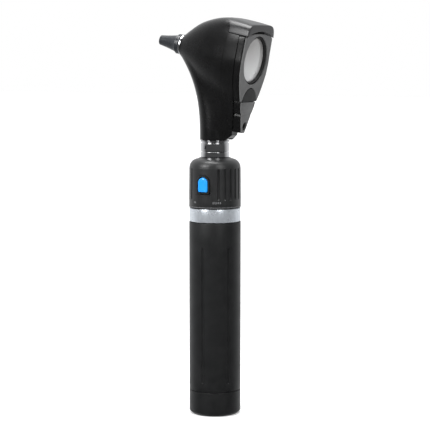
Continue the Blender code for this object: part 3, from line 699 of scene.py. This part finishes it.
def adopt(piece, name, look, body, stands_for=()):
    """Turn a carved solid into a finished piece that rides on a body."""
    piece.name = name
    piece.data.materials.clear()
    piece.data.materials.append(LOOKS[look])
    piece.data.shade_smooth()
    piece.data.set_sharp_from_angle(angle=math.radians(32.0))
    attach(piece, body)
    if stands_for:
        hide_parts(*stands_for)


def side_seam_tool():
    """A fine parting groove round the head a little ahead of the lens frame."""
    square = [(-40, -40), (50, -40), (50, 40), (-40, 40)]
    slab = tool(prism(square, SIDE_SEAM_U - 0.1, SIDE_SEAM_U + 0.1), OPTICS)
    carve(slab, tool(head_form(0.13, 96, 30, 30, base=STEM_BASE - 4.0)))
    low_part = prism([(-60, -60), (60, -60), (60, 60), (-60, 60)], 100.0, 188.0)
    carve(slab, tool(low_part))
    return slab


def plate_point(w, y):
    """The plate's own w and y as local coordinates of the optical frame."""
    return (-w, y)


def cover_front(y):
    """How far back the cover's front edge lies: furthest forward in the middle."""
    return min(COVER_FRONT_CURVE * (y / 12.0) ** 2, COVER_FRONT_CURVE + 1.5)


def cover_zone(radius, low_u, high_u):
    """Everything above an arc struck from the lens frame's pivot, its front edge curved."""
    bm = bmesh.new()
    columns = []
    for step in range(97):
        angle = COVER_HALF_ANGLE * (step / 48 - 1)
        y = radius * math.sin(angle)
        arc_w = PIVOT_W + radius * math.cos(angle)
        front = low_u + cover_front(y)
        corners = ((arc_w, front), (ABOVE_HEAD_W, front), (ABOVE_HEAD_W, high_u), (arc_w, high_u))
        columns.append([bm.verts.new((*plate_point(w, y), u)) for w, u in corners])
    join_rings(bm, columns)
    bm.faces.new(columns[0])
    bm.faces.new(columns[-1])
    return bm


def make_top_cover():
    """The brow: a cap over the top of the head, thick at its back edge, swelling over the lens plate."""
    inner = FRAME_TOP_R + 0.35
    across = 96
    edge = 0.45
    deepest = BROW_U - COVER_FRONT_U
    shares = [0.0, 0.05 / deepest, 0.2 / deepest, edge / deepest]
    shares += [(1.2 + step * 0.96) / deepest for step in range(20)]
    shares += [1 - edge / deepest, 1 - 0.2 / deepest, 1 - 0.05 / deepest, 1.0]
    bm = bmesh.new()
    outer_rows, inner_rows = [], []
    for share in shares:
        to_end = min(min(share, 1 - share) * deepest, edge)
        ease = edge - math.sqrt(max(edge ** 2 - (edge - to_end) ** 2, 0.0))
        limit = cover_half_angle(share, inner)
        outer, under = [], []
        for step in range(across + 1):
            angle = limit * (2 * step / across - 1)
            u = cover_station(share, inner * math.sin(angle))
            near_side = min(limit - abs(angle), 0.012) / 0.012
            skin = section_reach(u, angle, PIVOT_W)
            radius = max(skin - ease - 0.12 * (1 - near_side) ** 2, inner + 0.06)
            outer.append(bm.verts.new(polar_point(radius, angle, u)))
            under.append(bm.verts.new(polar_point(inner, angle, u)))
        outer_rows.append(outer)
        inner_rows.append(under)
    join_strips(bm, outer_rows)
    join_strips(bm, inner_rows)
    for end in (0, -1):
        join_strips(bm, (outer_rows[end], inner_rows[end]))
        join_strips(bm, ([row[end] for row in outer_rows], [row[end] for row in inner_rows]))
    publish("brow_cover", bm, "cover_plastic", "head", ["top_cover"], OPTICS)


def cover_station(share, y):
    """A place along the cover between its curved front edge and its back edge."""
    front = COVER_FRONT_U + cover_front(y)
    return front + (BROW_U - front) * share


def polar_point(radius, angle, u):
    """A point given by its distance and angle from the lens frame's pivot axis."""
    y = radius * math.sin(angle)
    x, y = plate_point(PIVOT_W + radius * math.cos(angle), y)
    return (x, y, u)


def cover_half_angle(share, inner):
    """Where the cover's underside meets the head's skin."""
    near, far = 0.0, COVER_HALF_ANGLE
    for _ in range(20):
        middle = 0.5 * (near + far)
        u = cover_station(share, inner * math.sin(middle))
        if section_reach(u, middle, PIVOT_W) > inner + 0.1:
            near = middle
        else:
            far = middle
    return near


def frame_edge(angle, u):
    """The lens frame's rim, as a distance from the window's centre along an angle from straight up."""
    skin = section_reach(u, angle)
    turn_cos = math.cos(angle)
    across = PIVOT_W * turn_cos
    top = across + math.sqrt(across ** 2 - PIVOT_W ** 2 + FRAME_TOP_R ** 2)
    edge = min(skin, top)
    if turn_cos > 0:
        drop = FRAME_CROWN_R - FRAME_TOP_W
        crown = math.sqrt((drop * turn_cos) ** 2 + FRAME_CROWN_R ** 2 - drop ** 2)
        edge = min(edge, crown - drop * turn_cos)
    if turn_cos < 0:
        edge = min(edge, FRAME_FOOT_W / turn_cos)
        notch = across ** 2 - PIVOT_W ** 2 + (BOSS_R + CLEARANCE) ** 2
        if notch > 0:
            entry = across - math.sqrt(notch)
            if entry > 0 and entry * turn_cos > FRAME_FOOT_W:
                edge = min(edge, entry)
    return edge


def frame_angles():
    """Directions from the window's centre, crowded where the rim has corners."""
    corners = []
    notch = BOSS_R + CLEARANCE
    half_foot = math.sqrt(notch ** 2 - (FRAME_FOOT_W - PIVOT_W) ** 2)
    corners.append(math.atan2(half_foot, FRAME_FOOT_W))
    for step in range(400):
        before, after = math.pi * step / 400, math.pi * (step + 1) / 400
        levels = [frame_edge(a, PLATE_FACE_U) * math.cos(a) for a in (before, after)]
        on_foot = [abs(level - FRAME_FOOT_W) < 0.02 for level in levels]
        if on_foot[0] != on_foot[1]:
            corners.append(0.5 * (before + after))
    angles = [math.pi * (step + 0.5) / 110 for step in range(110)]
    for corner in corners:
        angles += [corner - 0.004, corner + 0.004]
    angles = sorted(angle for angle in angles if 0 < angle < math.pi)
    return angles + [2 * math.pi - angle for angle in reversed(angles)]


def ring_of(bm, angles, radii, u):
    points = [plate_point(r * math.cos(a), r * math.sin(a)) for a, r in zip(angles, radii)]
    return [bm.verts.new((*point, u)) for point in points]


def make_lens_frame():
    """The swinging plate: a black body with a stepped window, a thin grey face and a hidden hinge ear. The
    face's grey is painted light: the lit look of the plate's matt face, on a plate whose sides stay black.
    """
    angles = frame_angles()
    back = PLATE_BACK_U
    step_u = back + 0.5
    split = FACE_SPLIT_U
    rim = [(back, 0.15), (back + 0.15, 0.0), (back + 1.2, 0.0), (back + 2.6, 0.0)]
    rim += [(split - 0.2, 0.0), (split, 0.12)]
    window = [(split, WINDOW_R + 0.1), (split - 0.2, WINDOW_R), (step_u, WINDOW_R)]
    window += [(step_u, BACK_WINDOW_R), (back, BACK_WINDOW_R)]
    publish("lens_frame_body", framed_ring(angles, rim, window), "black_plastic", "lens",
            ["lens_frame"], OPTICS)
    low, face, fillet = split + 0.02, PLATE_FACE_U, 0.32
    face_r = WINDOW_R + 0.2
    rim = [(low, 0.2), (low + 0.15, 0.06), (face - fillet, 0.06)]
    window = []
    for step in range(1, 5):
        turn = math.radians(90 * step / 4)
        drop = fillet * (1 - math.cos(turn))
        rim.append((face - fillet + fillet * math.sin(turn), 0.06 + drop))
        window.append((face - drop, face_r + fillet * math.cos(turn)))
    window.append((low, face_r))
    # painted light: the thin face is grey for its lit look, the body under it black
    publish("lens_frame_face", framed_ring(angles, rim, window), "plate_grey", "lens",
            (), OPTICS)
    half = EAR_NECK_HALF_ANGLE
    outline = arc((0, 0), EAR_NECK_R, 180 - half, 180 + half, 30)
    outline += arc((0, 0), EAR_R, half - 180, 180 - half, 60)
    ear = tool(prism(outline, back, EAR_TOP_U), PIVOT)
    bore(ear, PIN_HOLE_R, back - 1, EAR_TOP_U + 1, 32, PIVOT)
    adopt(ear, "hinge_ear", "black_plastic", "lens")


def framed_ring(angles, rim, window):
    """A ring between the plate's rim, given as (u, ease), and a round window, given as (u, radius)."""
    bm = bmesh.new()
    rings = []
    for u, ease in rim:
        rings.append(ring_of(bm, angles, [frame_edge(a, u) - ease for a in angles], u))
    top_u, top_ease = rim[-1]
    outer = [frame_edge(a, top_u) - top_ease for a in angles]
    lip = window[0][1]
    for share in (0.3, 0.65):
        rings.append(ring_of(bm, angles, [edge + (lip + 0.1 - edge) * share for edge in outer], top_u))
    for u, radius in window:
        rings.append(ring_of(bm, angles, [radius] * len(angles), u))
    join_rings(bm, rings + rings[:1])
    return bm


def make_lens():
    """Plano-convex magnifier with a ground edge, and its retaining ring."""
    profile = [(0, 23.3), (12.0, 23.3), (13.0, 23.35), (13.3, 23.6), (13.3, 24.2), (13.1, 24.35)]
    for step in range(14):
        radius = 12.9 * (1 - step / 14)
        profile.append((radius, 25.15 - 0.8 * (radius / 12.9) ** 2))
    profile.append((0, 25.15))
    turned("magnifier_fine", profile, 128, "lens_glass", "lens", ["magnifier_lens"], OPTICS)
    ring = rounded([(12.45, 24.75), (13.4, 24.5), (13.4, 26.0), (12.95, 26.0)], 0.15)
    turned("lens_ring_fine", ring, 128, "boss_black", "lens", ["lens_retaining_ring"], OPTICS)


def make_pivot_boss():
    """The half-disc boss over the ear, with a thin disc round the pin under the lower plate."""
    start = math.degrees(math.acos((FRAME_FOOT_W - PIVOT_W) / BOSS_R))
    outline = arc((0, 0), BOSS_R, 180 - start, 180 + start, 72)
    low = EAR_TOP_U + CLEARANCE
    boss = tool(prism(outline, low, PLATE_FACE_U), PIVOT)
    carve(boss, tool(lathe(disc_outline(EAR_R, low, BOSS_DISC_U), 72), PIVOT), "UNION")
    soften(boss, 0.25, segments=2)
    adopt(boss, "pivot_boss_fine", "boss_black", "head", ["pivot_boss"])


def plate_half_width(w, u):
    """Half the lower plate's width: the boss's circle by the pivot, easing out to the head's form."""
    half = head_half_width(*row_coordinates(u, w))
    below = PIVOT_W - w
    if below > 10.5:
        return half
    circle = math.sqrt(BOSS_R ** 2 - min(below, 6.5) ** 2)
    if below > 6.5:
        share = (below - 6.5) / 4.0
        circle += (half - circle) * share * share * (3 - 2 * share)
    return min(half, circle)


def tapered_plate(levels, rows=80):
    """The plate below the pivot as a closed solid, levels given as (u, how far its edge draws in)."""
    bm = bmesh.new()
    sides = []
    for u, inset in levels:
        top = FRAME_FOOT_W - CLEARANCE - inset
        tip = PLATE_TIP_W + inset
        left, right = [], []
        for row in range(rows + 1):
            w = top + (tip - top) * row / rows
            half = max(plate_half_width(w, u) - inset, 0.5)
            left.append(bm.verts.new((*plate_point(w, half), u)))
            right.append(bm.verts.new((*plate_point(w, -half), u)))
        sides.append((left, right))
    for near, far in zip(sides, sides[1:]):
        for side in (0, 1):
            join_strips(bm, (near[side], far[side]))
        for row in (0, rows):
            bm.faces.new((near[0][row], near[1][row], far[1][row], far[0][row]))
    join_strips(bm, sides[0])
    join_strips(bm, sides[-1])
    return bm


def make_lower_plate():
    """A black body with a pocket for the ear and the boss's disc, and a thin grey face whose grey is painted
    light, the lit look of the plate's matt face.
    """
    back = PLATE_BACK_U
    split = FACE_SPLIT_U
    face = PLATE_FACE_U
    port_r = PORT_R + CLEARANCE
    levels = [(back, 0.1), (back + 0.1, 0.0), (split - 0.15, 0.0), (split, 0.1)]
    body = tool(tapered_plate(levels), OPTICS)
    bore(body, EAR_R + CLEARANCE, back - 1, BOSS_DISC_U + CLEARANCE, 72, PIVOT)
    bore(body, port_r, back - 1, face + 1, 48, PORT)
    adopt(body, "lower_plate_body", "black_plastic", "head", ["lower_plate"])
    # painted light: the thin face is grey for its lit look, the body under it black
    levels = [(split + 0.02, 0.15), (split + 0.15, 0.05), (face - 0.3, 0.05), (face - 0.1, 0.11), (face, 0.3)]
    cover = tool(tapered_plate(levels), OPTICS)
    bore(cover, port_r, back - 1, face + 1, 48, PORT)
    adopt(cover, "lower_plate_face", "plate_grey", "head")


def make_port():
    front = PLATE_FACE_U - 0.6
    outline = rounded([(PORT_R, 14.5), (PORT_R, front), (1.3, front), (1.3, 14.5)], 0.2)
    turned("port_fine", outline, 48, "boss_black", "head", ["insufflation_port"], PORT)


def make_nozzle():
    inner = NOZZLE_BORE
    ring = rounded([(inner, -20.3), (inner, -21.8), (5.7, -21.8), (6.1, -21.3), (6.1, -20.3)], 0.18)
    turned("nozzle_ring_fine", ring, 96, "polished_chrome", "head", ["nozzle_ring"], OPTICS)
    seat = rounded([
        (4.2, -15.0), (3.5, -15.0), (3.5, -20.0), (2.3, -30.0), (2.8, -30.0), (4.1, -22.0), (4.2, -20.0),
    ], 0.15)
    turned("speculum_cone_fine", seat, 64, "satin_aluminium", "head", ["speculum_seat"], OPTICS)


def make_speculum():
    """Thin moulded cone: a flange with a fine groove, then a slightly hollow taper to a rounded tip."""
    outline = [(4.45, -22.1), (5.5, -22.1), (5.7, -22.3), (5.7, -23.0), (5.55, -23.1), (5.55, -23.5)]
    outline += [(5.7, -23.6), (5.7, -24.3), (5.2, -24.6), (5.0, -24.8)]
    for step in range(1, 9):
        share = step / 9
        outline.append((5.0 + (2.85 - 5.0) * share - 0.16 * math.sin(math.pi * share), -24.8 - 11.1 * share))
    outline += [(2.85, -35.9), (2.8, -36.2), (2.55, -36.3), (2.25, -36.2), (2.2, -35.9), (3.25, -30.0)]
    turned("ear_speculum_fine", outline, 96, "speculum_black", "speculum", ["ear_speculum"], OPTICS)


# ---------------- neck and collar

def make_socket():
    """The chromed bayonet socket: a rolled rim over a narrow groove, with two slots inside it."""
    low = BOSS_HIGH + 0.3
    outline = rounded([
        (5.9, low), (NECK_R, low), (NECK_R, 158.3), (NECK_R - 0.45, 158.5), (NECK_R - 0.45, 158.9),
        (NECK_R + 0.2, 159.1), (NECK_R + 0.2, SOCKET_TOP), (6.6, SOCKET_TOP), (6.6, 168.0), (3.4, 168.0),
        (3.4, 159.75), (5.9, 159.75),
    ], 0.22)
    socket = publish("bayonet_socket", lathe(outline, 128))
    for angle in PIN_ANGLES:
        start = angle - TWIST_RANGE
        carve(socket, tool(sector(5.2, 7.35, start - 12, angle + 12, PIN_Z - 1.25, PIN_Z + 1.25)))
        carve(socket, tool(sector(5.3, 7.3, start - 10, start + 10, low - 1.3, PIN_Z)))
    sight = Matrix.Translation((0, 0, PIN_Z)) @ Matrix.Rotation(math.radians(PIN_ANGLES[0]), 4, "Z")
    sight = sight @ Matrix.Rotation(math.pi / 2, 4, "Y")
    bore(socket, 0.95, 7.0, 10.0, 32, sight)
    adopt(socket, "bayonet_socket", "polished_chrome", "head", ["head_socket"])


def sector(inner, outer, start, end, low, high):
    """A block swept round Z between two radii and two angles."""
    outline = arc((0, 0), outer, start, end, 16) + arc((0, 0), inner, end, start, 16)
    return prism(outline, low, high)


def make_boss():
    """The handle's chromed neck and post, its visible edges rolled."""
    top = COLLAR_HIGH
    outline = rounded([
        (3.2, 104.3), (10.5, 104.3), (12.4, 106.0), (12.4, BARREL_HIGH), (CORE_R, BARREL_HIGH),
        (CORE_R, top + 0.3), (NECK_R, top + 0.3), (NECK_R, BOSS_HIGH), (POST_R, BOSS_HIGH),
        (POST_R, 159.4), (3.2, 159.4),
    ], 0.3)
    turned("neck_boss", outline, 128, "polished_chrome", "handle", ["coupling_boss"])


def make_trim_ring():
    """The bright ring under the collar, its two edges rounded off."""
    low, high = RING_LOW, RING_HIGH
    outline = [
        (12.6, low), (RING_R - 0.3, low), (RING_R - 0.09, low + 0.09), (RING_R, low + 0.3),
        (RING_R, high - 0.3), (RING_R - 0.09, high - 0.09), (RING_R - 0.3, high), (12.6, high),
    ]
    turned("bright_ring", outline, 160, "satin_aluminium", "handle", ["trim_ring"])


def rib_groove(angle):
    """How deep into a groove an angle is, from 0 on a rib or the button's panel to 1."""
    from_panel = (math.degrees(angle) - BUTTON_ANGLE - PANEL_HALF_ANGLE) % 360.0
    ribbed = 360.0 - 2 * PANEL_HALF_ANGLE
    if from_panel >= ribbed:
        return 0.0
    phase = (from_panel * RIB_COUNT / ribbed) % 1.0
    from_middle = abs(phase - 0.5) / 0.19
    return max(1 - from_middle ** 4, 0.0) ** 0.7 if from_middle < 1 else 0.0


def make_collar():
    """The dimmer collar: broad ribs with soft edges, a smooth panel and a domed shoulder."""
    low = COLLAR_LOW
    shoulder = arc((COLLAR_R - 5.4, 144.2), 5.2, 2, 84, 20)
    outline = [(COLLAR_BORE, low), (COLLAR_R - 0.35, low), (COLLAR_R - 0.1, low + 0.12)]
    outline += [(COLLAR_R, low + 0.35), (COLLAR_R, RIB_BOTTOM - 0.6)]
    rise = RIB_TOP - RIB_BOTTOM
    ladder = (0.0, 0.01, 0.025, 0.045, 0.07, 0.25, 0.5, 0.75, 0.93, 0.955, 0.975, 0.99, 1.0)
    outline += [(COLLAR_R - 0.15 * share, RIB_BOTTOM + rise * share) for share in ladder]
    outline += shoulder + [(8.9, COLLAR_HIGH), (CORE_R + 0.3, COLLAR_HIGH)]
    outline += [(CORE_R + 0.3, 146.5), (COLLAR_BORE, 142.5)]

    def radius_at(radius, z, angle):
        if radius < 12.7 or not RIB_BOTTOM < z < RIB_TOP:
            return radius
        from_end = min(z - RIB_BOTTOM, RIB_TOP - z) / 1.25
        fade = math.sqrt(max(1 - (1 - min(from_end, 1.0)) ** 2, 0.0))
        return radius - RIB_DEPTH * fade * rib_groove(angle)

    bm = lathe(outline, turns=collar_turns(), radius_at=radius_at)
    collar = publish("dimmer_collar", bm)
    carve(collar, tool(prism(button_outline(1.5), 9.5, 20.0), BUTTON_PLACE))
    adopt(collar, "dimmer_collar", "collar_plastic", "collar", ["rheostat_collar"])


def collar_turns():
    """Angles that crowd at the groove walls, with even steps across the smooth panel."""
    pitch = (360.0 - 2 * PANEL_HALF_ANGLE) / RIB_COUNT
    first = BUTTON_ANGLE + PANEL_HALF_ANGLE
    rising = (0.30, 0.31, 0.325, 0.345, 0.38, 0.44)
    phases = (0.0, 0.12, 0.23) + rising + (0.50, 0.56, 0.62, 0.655, 0.675, 0.69, 0.70)
    turns = [math.radians(first + (rib + phase) * pitch) for rib in range(RIB_COUNT) for phase in phases]
    steps = 30
    for step in range(steps):
        turns.append(math.radians(BUTTON_ANGLE - PANEL_HALF_ANGLE + 2 * PANEL_HALF_ANGLE * step / steps))
    return turns


def make_scale_marks():
    """A fine line round the collar's lower band and short brightness marks above it."""
    line = lathe([
        (COLLAR_R - 0.05, LINE_Z - 0.1), (COLLAR_R + 0.03, LINE_Z - 0.1),
        (COLLAR_R + 0.03, LINE_Z + 0.1), (COLLAR_R - 0.05, LINE_Z + 0.1),
    ], 180)
    publish("scale_line", line, "mark_grey", "collar")
    for index, turn in enumerate(MARK_ANGLES):
        start = BUTTON_ANGLE + turn - 0.8
        mark = sector(COLLAR_R - 0.06, COLLAR_R + 0.03, start, start + 1.6, TICK_Z - 0.55, TICK_Z + 0.55)
        publish("scale_mark_" + str(index + 1), mark, "mark_grey", "collar")


def button_outline(margin):
    """The button's face, arched at the top: x is across, y is up from its middle."""
    half = BUTTON_WIDTH / 2 + margin
    bottom = -BUTTON_TALL / 2 - margin
    corner = 0.8
    points = arc((half - corner, bottom + corner), corner, -90, 0, 6)
    points += arc((0, BUTTON_TALL / 2 + margin - half), half, 0, 180, 36)
    points += arc((corner - half, bottom + corner), corner, 180, 270, 6)
    return points


def make_button():
    """A pillowed button in its own bezel."""
    bm = bmesh.new()
    outline = button_outline(0.0)
    front = BUTTON_FRONT
    levels = [(BUTTON_BACK, 0.0), (front - 0.8, 0.0), (front - 0.55, 0.06), (front - 0.35, 0.2)]
    levels += [(front - 0.2, 0.45), (front - 0.1, 0.9), (front - 0.03, 1.7), (front, 2.7)]
    rings = []
    for level, inset in levels:
        half = BUTTON_WIDTH / 2
        tall = BUTTON_TALL / 2
        ring = [
            bm.verts.new((x * (1 - inset / half), y * (1 - inset / tall), level)) for x, y in outline
        ]
        rings.append(ring)
    join_rings(bm, rings)
    bm.faces.new(rings[0])
    bm.faces.new(rings[-1])
    publish("lock_button_fine", bm, "button_blue", "button",
            ["lock_button"], BUTTON_PLACE, 50.0)
    bezel = tool(prism(button_outline(1.2), 12.9, 15.15), BUTTON_PLACE)
    carve(bezel, tool(prism(button_outline(0.35), 10.0, 20.0), BUTTON_PLACE))
    soften(bezel, 0.18, segments=2)
    adopt(bezel, "button_bezel_fine", "boss_black", "collar", ["button_bezel"])


# ---------------- handle

def make_barrel():
    """The grip: a slim tube with long finger grooves let into it."""
    low, high = BARREL_LOW, BARREL_HIGH
    outline = [
        (13.3, low), (BARREL_R - 0.3, low), (BARREL_R - 0.08, low + 0.08), (BARREL_R, low + 0.3),
        (BARREL_R, GROOVE_BOTTOM - 2), (BARREL_R, GROOVE_TOP + 2),
        (BARREL_R, high - 0.3), (BARREL_R - 0.08, high - 0.08), (BARREL_R - 0.3, high), (13.3, high),
    ]
    barrel = publish("grip_tube", lathe(outline, 144))
    for index in range(GROOVE_COUNT):
        angle = math.radians(GROOVE_FIRST + index * 360.0 / GROOVE_COUNT)
        away = BARREL_R + 0.35
        ends = arc((0, GROOVE_BOTTOM), GROOVE_R, -90, 0, 6) + arc((0, GROOVE_TOP), GROOVE_R, 0, 90, 6)
        groove = lathe([(max(radius, 0.0), z) for radius, z in ends], 24)
        carve(barrel, tool(groove, Matrix.Translation((away * math.cos(angle), away * math.sin(angle), 0))))
    adopt(barrel, "grip_tube", "grip_black", "handle", ["handle_barrel"])


def make_end_cap():
    """The screw cap: a rounded cup, its spigot grooved for the seal, with its two charging contacts."""
    outline = rounded([
        (5.3, 0), (8.7, 0), (8.7, 1.2), (11.8, 1.2), (11.8, 0), (BARREL_R - 1.6, 0), (BARREL_R, 1.6),
        (BARREL_R, CAP_SHOULDER), (13.0, CAP_SHOULDER), (13.0, 15.6), (12.2, 15.6),
        (12.2, 17.0), (13.0, 17.0), (13.0, 22.0), (11.0, 22.0), (11.0, 3.0), (5.3, 3.0),
    ], 0.3, 4)
    turned("screw_cap", outline, 144, "grip_black", "cap", ["end_cap"])
    ring = rounded([(11.5, 0), (11.5, 0.9), (9.0, 0.9), (9.0, 0)], 0.15)
    turned("charge_ring_fine", ring, 96, "contact_brass", "cap", ["charge_ring"])
    contact = rounded([(0, 0), (5.0, 0), (5.0, 2.7), (2.0, 2.7), (2.0, 6.0), (0, 6.0)], 0.25)
    turned("charge_contact_fine", contact, 64, "contact_brass", "cap", ["charge_contact"])


# ---------------- studio

def make_floor():
    """A pale floor that brightens with distance, so that it runs into the white behind."""
    bm = bmesh.new()
    bmesh.ops.create_grid(bm, x_segments=2, y_segments=2, size=6.0)
    mesh = bpy.data.meshes.new("floor")
    bm.to_mesh(mesh)
    bm.free()
    floor = bpy.data.objects.new("floor", mesh)
    bpy.context.scene.collection.objects.link(floor)
    made, tree, shader = new_shader("pale_floor")
    colour = tint(tree, noise(tree, 3.0), (0.80, 0.80, 0.80), (0.83, 0.83, 0.83))
    tree.links.new(colour, shader.inputs["Base Color"])
    set_inputs(shader, {"Roughness": 0.75, "Specular IOR Level": 0.2, "Emission Color": (1, 1, 1, 1)})
    place = tree.nodes.new("ShaderNodeTexCoord")
    distance = tree.nodes.new("ShaderNodeVectorMath")
    distance.operation = "LENGTH"
    tree.links.new(place.outputs["Object"], distance.inputs[0])
    glow = spread(tree, distance.outputs["Value"], FLOOR_NEAR, FLOOR_FAR, 0.3, 1.4)
    tree.links.new(glow, shader.inputs["Emission Strength"])
    mesh.materials.append(made)
    floor.visible_glossy = False


def make_softbox(name, width, height, power, place):
    """A rectangular area light that faces the object."""
    data = bpy.data.lights.new(name, "AREA")
    data.shape = "RECTANGLE"
    data.size = width
    data.size_y = height
    data.energy = power
    light = bpy.data.objects.new(name, data)
    bpy.context.scene.collection.objects.link(light)
    light.visible_camera = False
    light.location = place
    aim = Vector((0, 0, CENTRE_Z)) - Vector(place)
    light.rotation_euler = aim.to_track_quat("-Z", "Y").to_euler()


def around(azimuth, distance, height):
    """A place round the object; azimuth 0 is on the button's side and 90 on the lens's."""
    turn = math.radians(azimuth)
    return (distance * math.sin(turn), -distance * math.cos(turn), height)


def make_world():
    """White to the camera; to everything else dark in front, bright behind and above."""
    world = bpy.data.worlds.new("studio")
    bpy.context.scene.world = world
    world.use_nodes = True
    tree = world.node_tree
    tree.nodes.clear()
    seen = tree.nodes.new("ShaderNodeLightPath")
    bright = tree.nodes.new("ShaderNodeBackground")
    set_inputs(bright, {"Color": (1, 1, 1, 1), "Strength": 1.0})
    fill = tree.nodes.new("ShaderNodeBackground")
    set_inputs(fill, {"Color": (0.98, 0.99, 1, 1)})
    place = tree.nodes.new("ShaderNodeTexCoord")
    behind = tree.nodes.new("ShaderNodeVectorMath")
    behind.operation = "DOT_PRODUCT"
    turn = math.radians(VIEW_AZIMUTH)
    behind.inputs[1].default_value = (-math.sin(turn), math.cos(turn), 0.25)
    tree.links.new(place.outputs["Generated"], behind.inputs[0])
    strength = spread(tree, behind.outputs["Value"], WORLD_FRONT, WORLD_BACK, -0.2, 0.7)
    tree.links.new(strength, fill.inputs["Strength"])
    mix = tree.nodes.new("ShaderNodeMixShader")
    out = tree.nodes.new("ShaderNodeOutputWorld")
    tree.links.new(seen.outputs["Is Camera Ray"], mix.inputs["Fac"])
    tree.links.new(fill.outputs["Background"], mix.inputs[1])
    tree.links.new(bright.outputs["Background"], mix.inputs[2])
    tree.links.new(mix.outputs["Shader"], out.inputs["Surface"])


def make_camera():
    data = bpy.data.cameras.new("photo_view")
    data.lens = 128.0
    data.sensor_width = 36.0
    camera = bpy.data.objects.new("photo_view", data)
    bpy.context.scene.collection.objects.link(camera)
    camera.location = around(VIEW_AZIMUTH, VIEW_DISTANCE, VIEW_HEIGHT)
    aim = Vector((0, 0, CENTRE_Z)) - camera.location
    camera.rotation_euler = aim.to_track_quat("-Z", "Y").to_euler()
    bpy.context.scene.camera = camera


def make_studio():
    bpy.context.scene.view_settings.view_transform = "Standard"
    make_world()
    make_floor()
    for name, width, height, power, place in SOFTBOXES:
        make_softbox(name, width, height, power, around(*place))
    make_camera()


LOOKS = make_materials()
paint_cad_nodes(LOOKS)
make_head_shell()
make_top_cover()
make_lens_frame()
make_lens()
make_pivot_boss()
make_lower_plate()
make_port()
make_nozzle()
make_speculum()
make_socket()
make_boss()
make_trim_ring()
make_collar()
make_scale_marks()
make_button()
make_barrel()
make_end_cap()
make_studio()
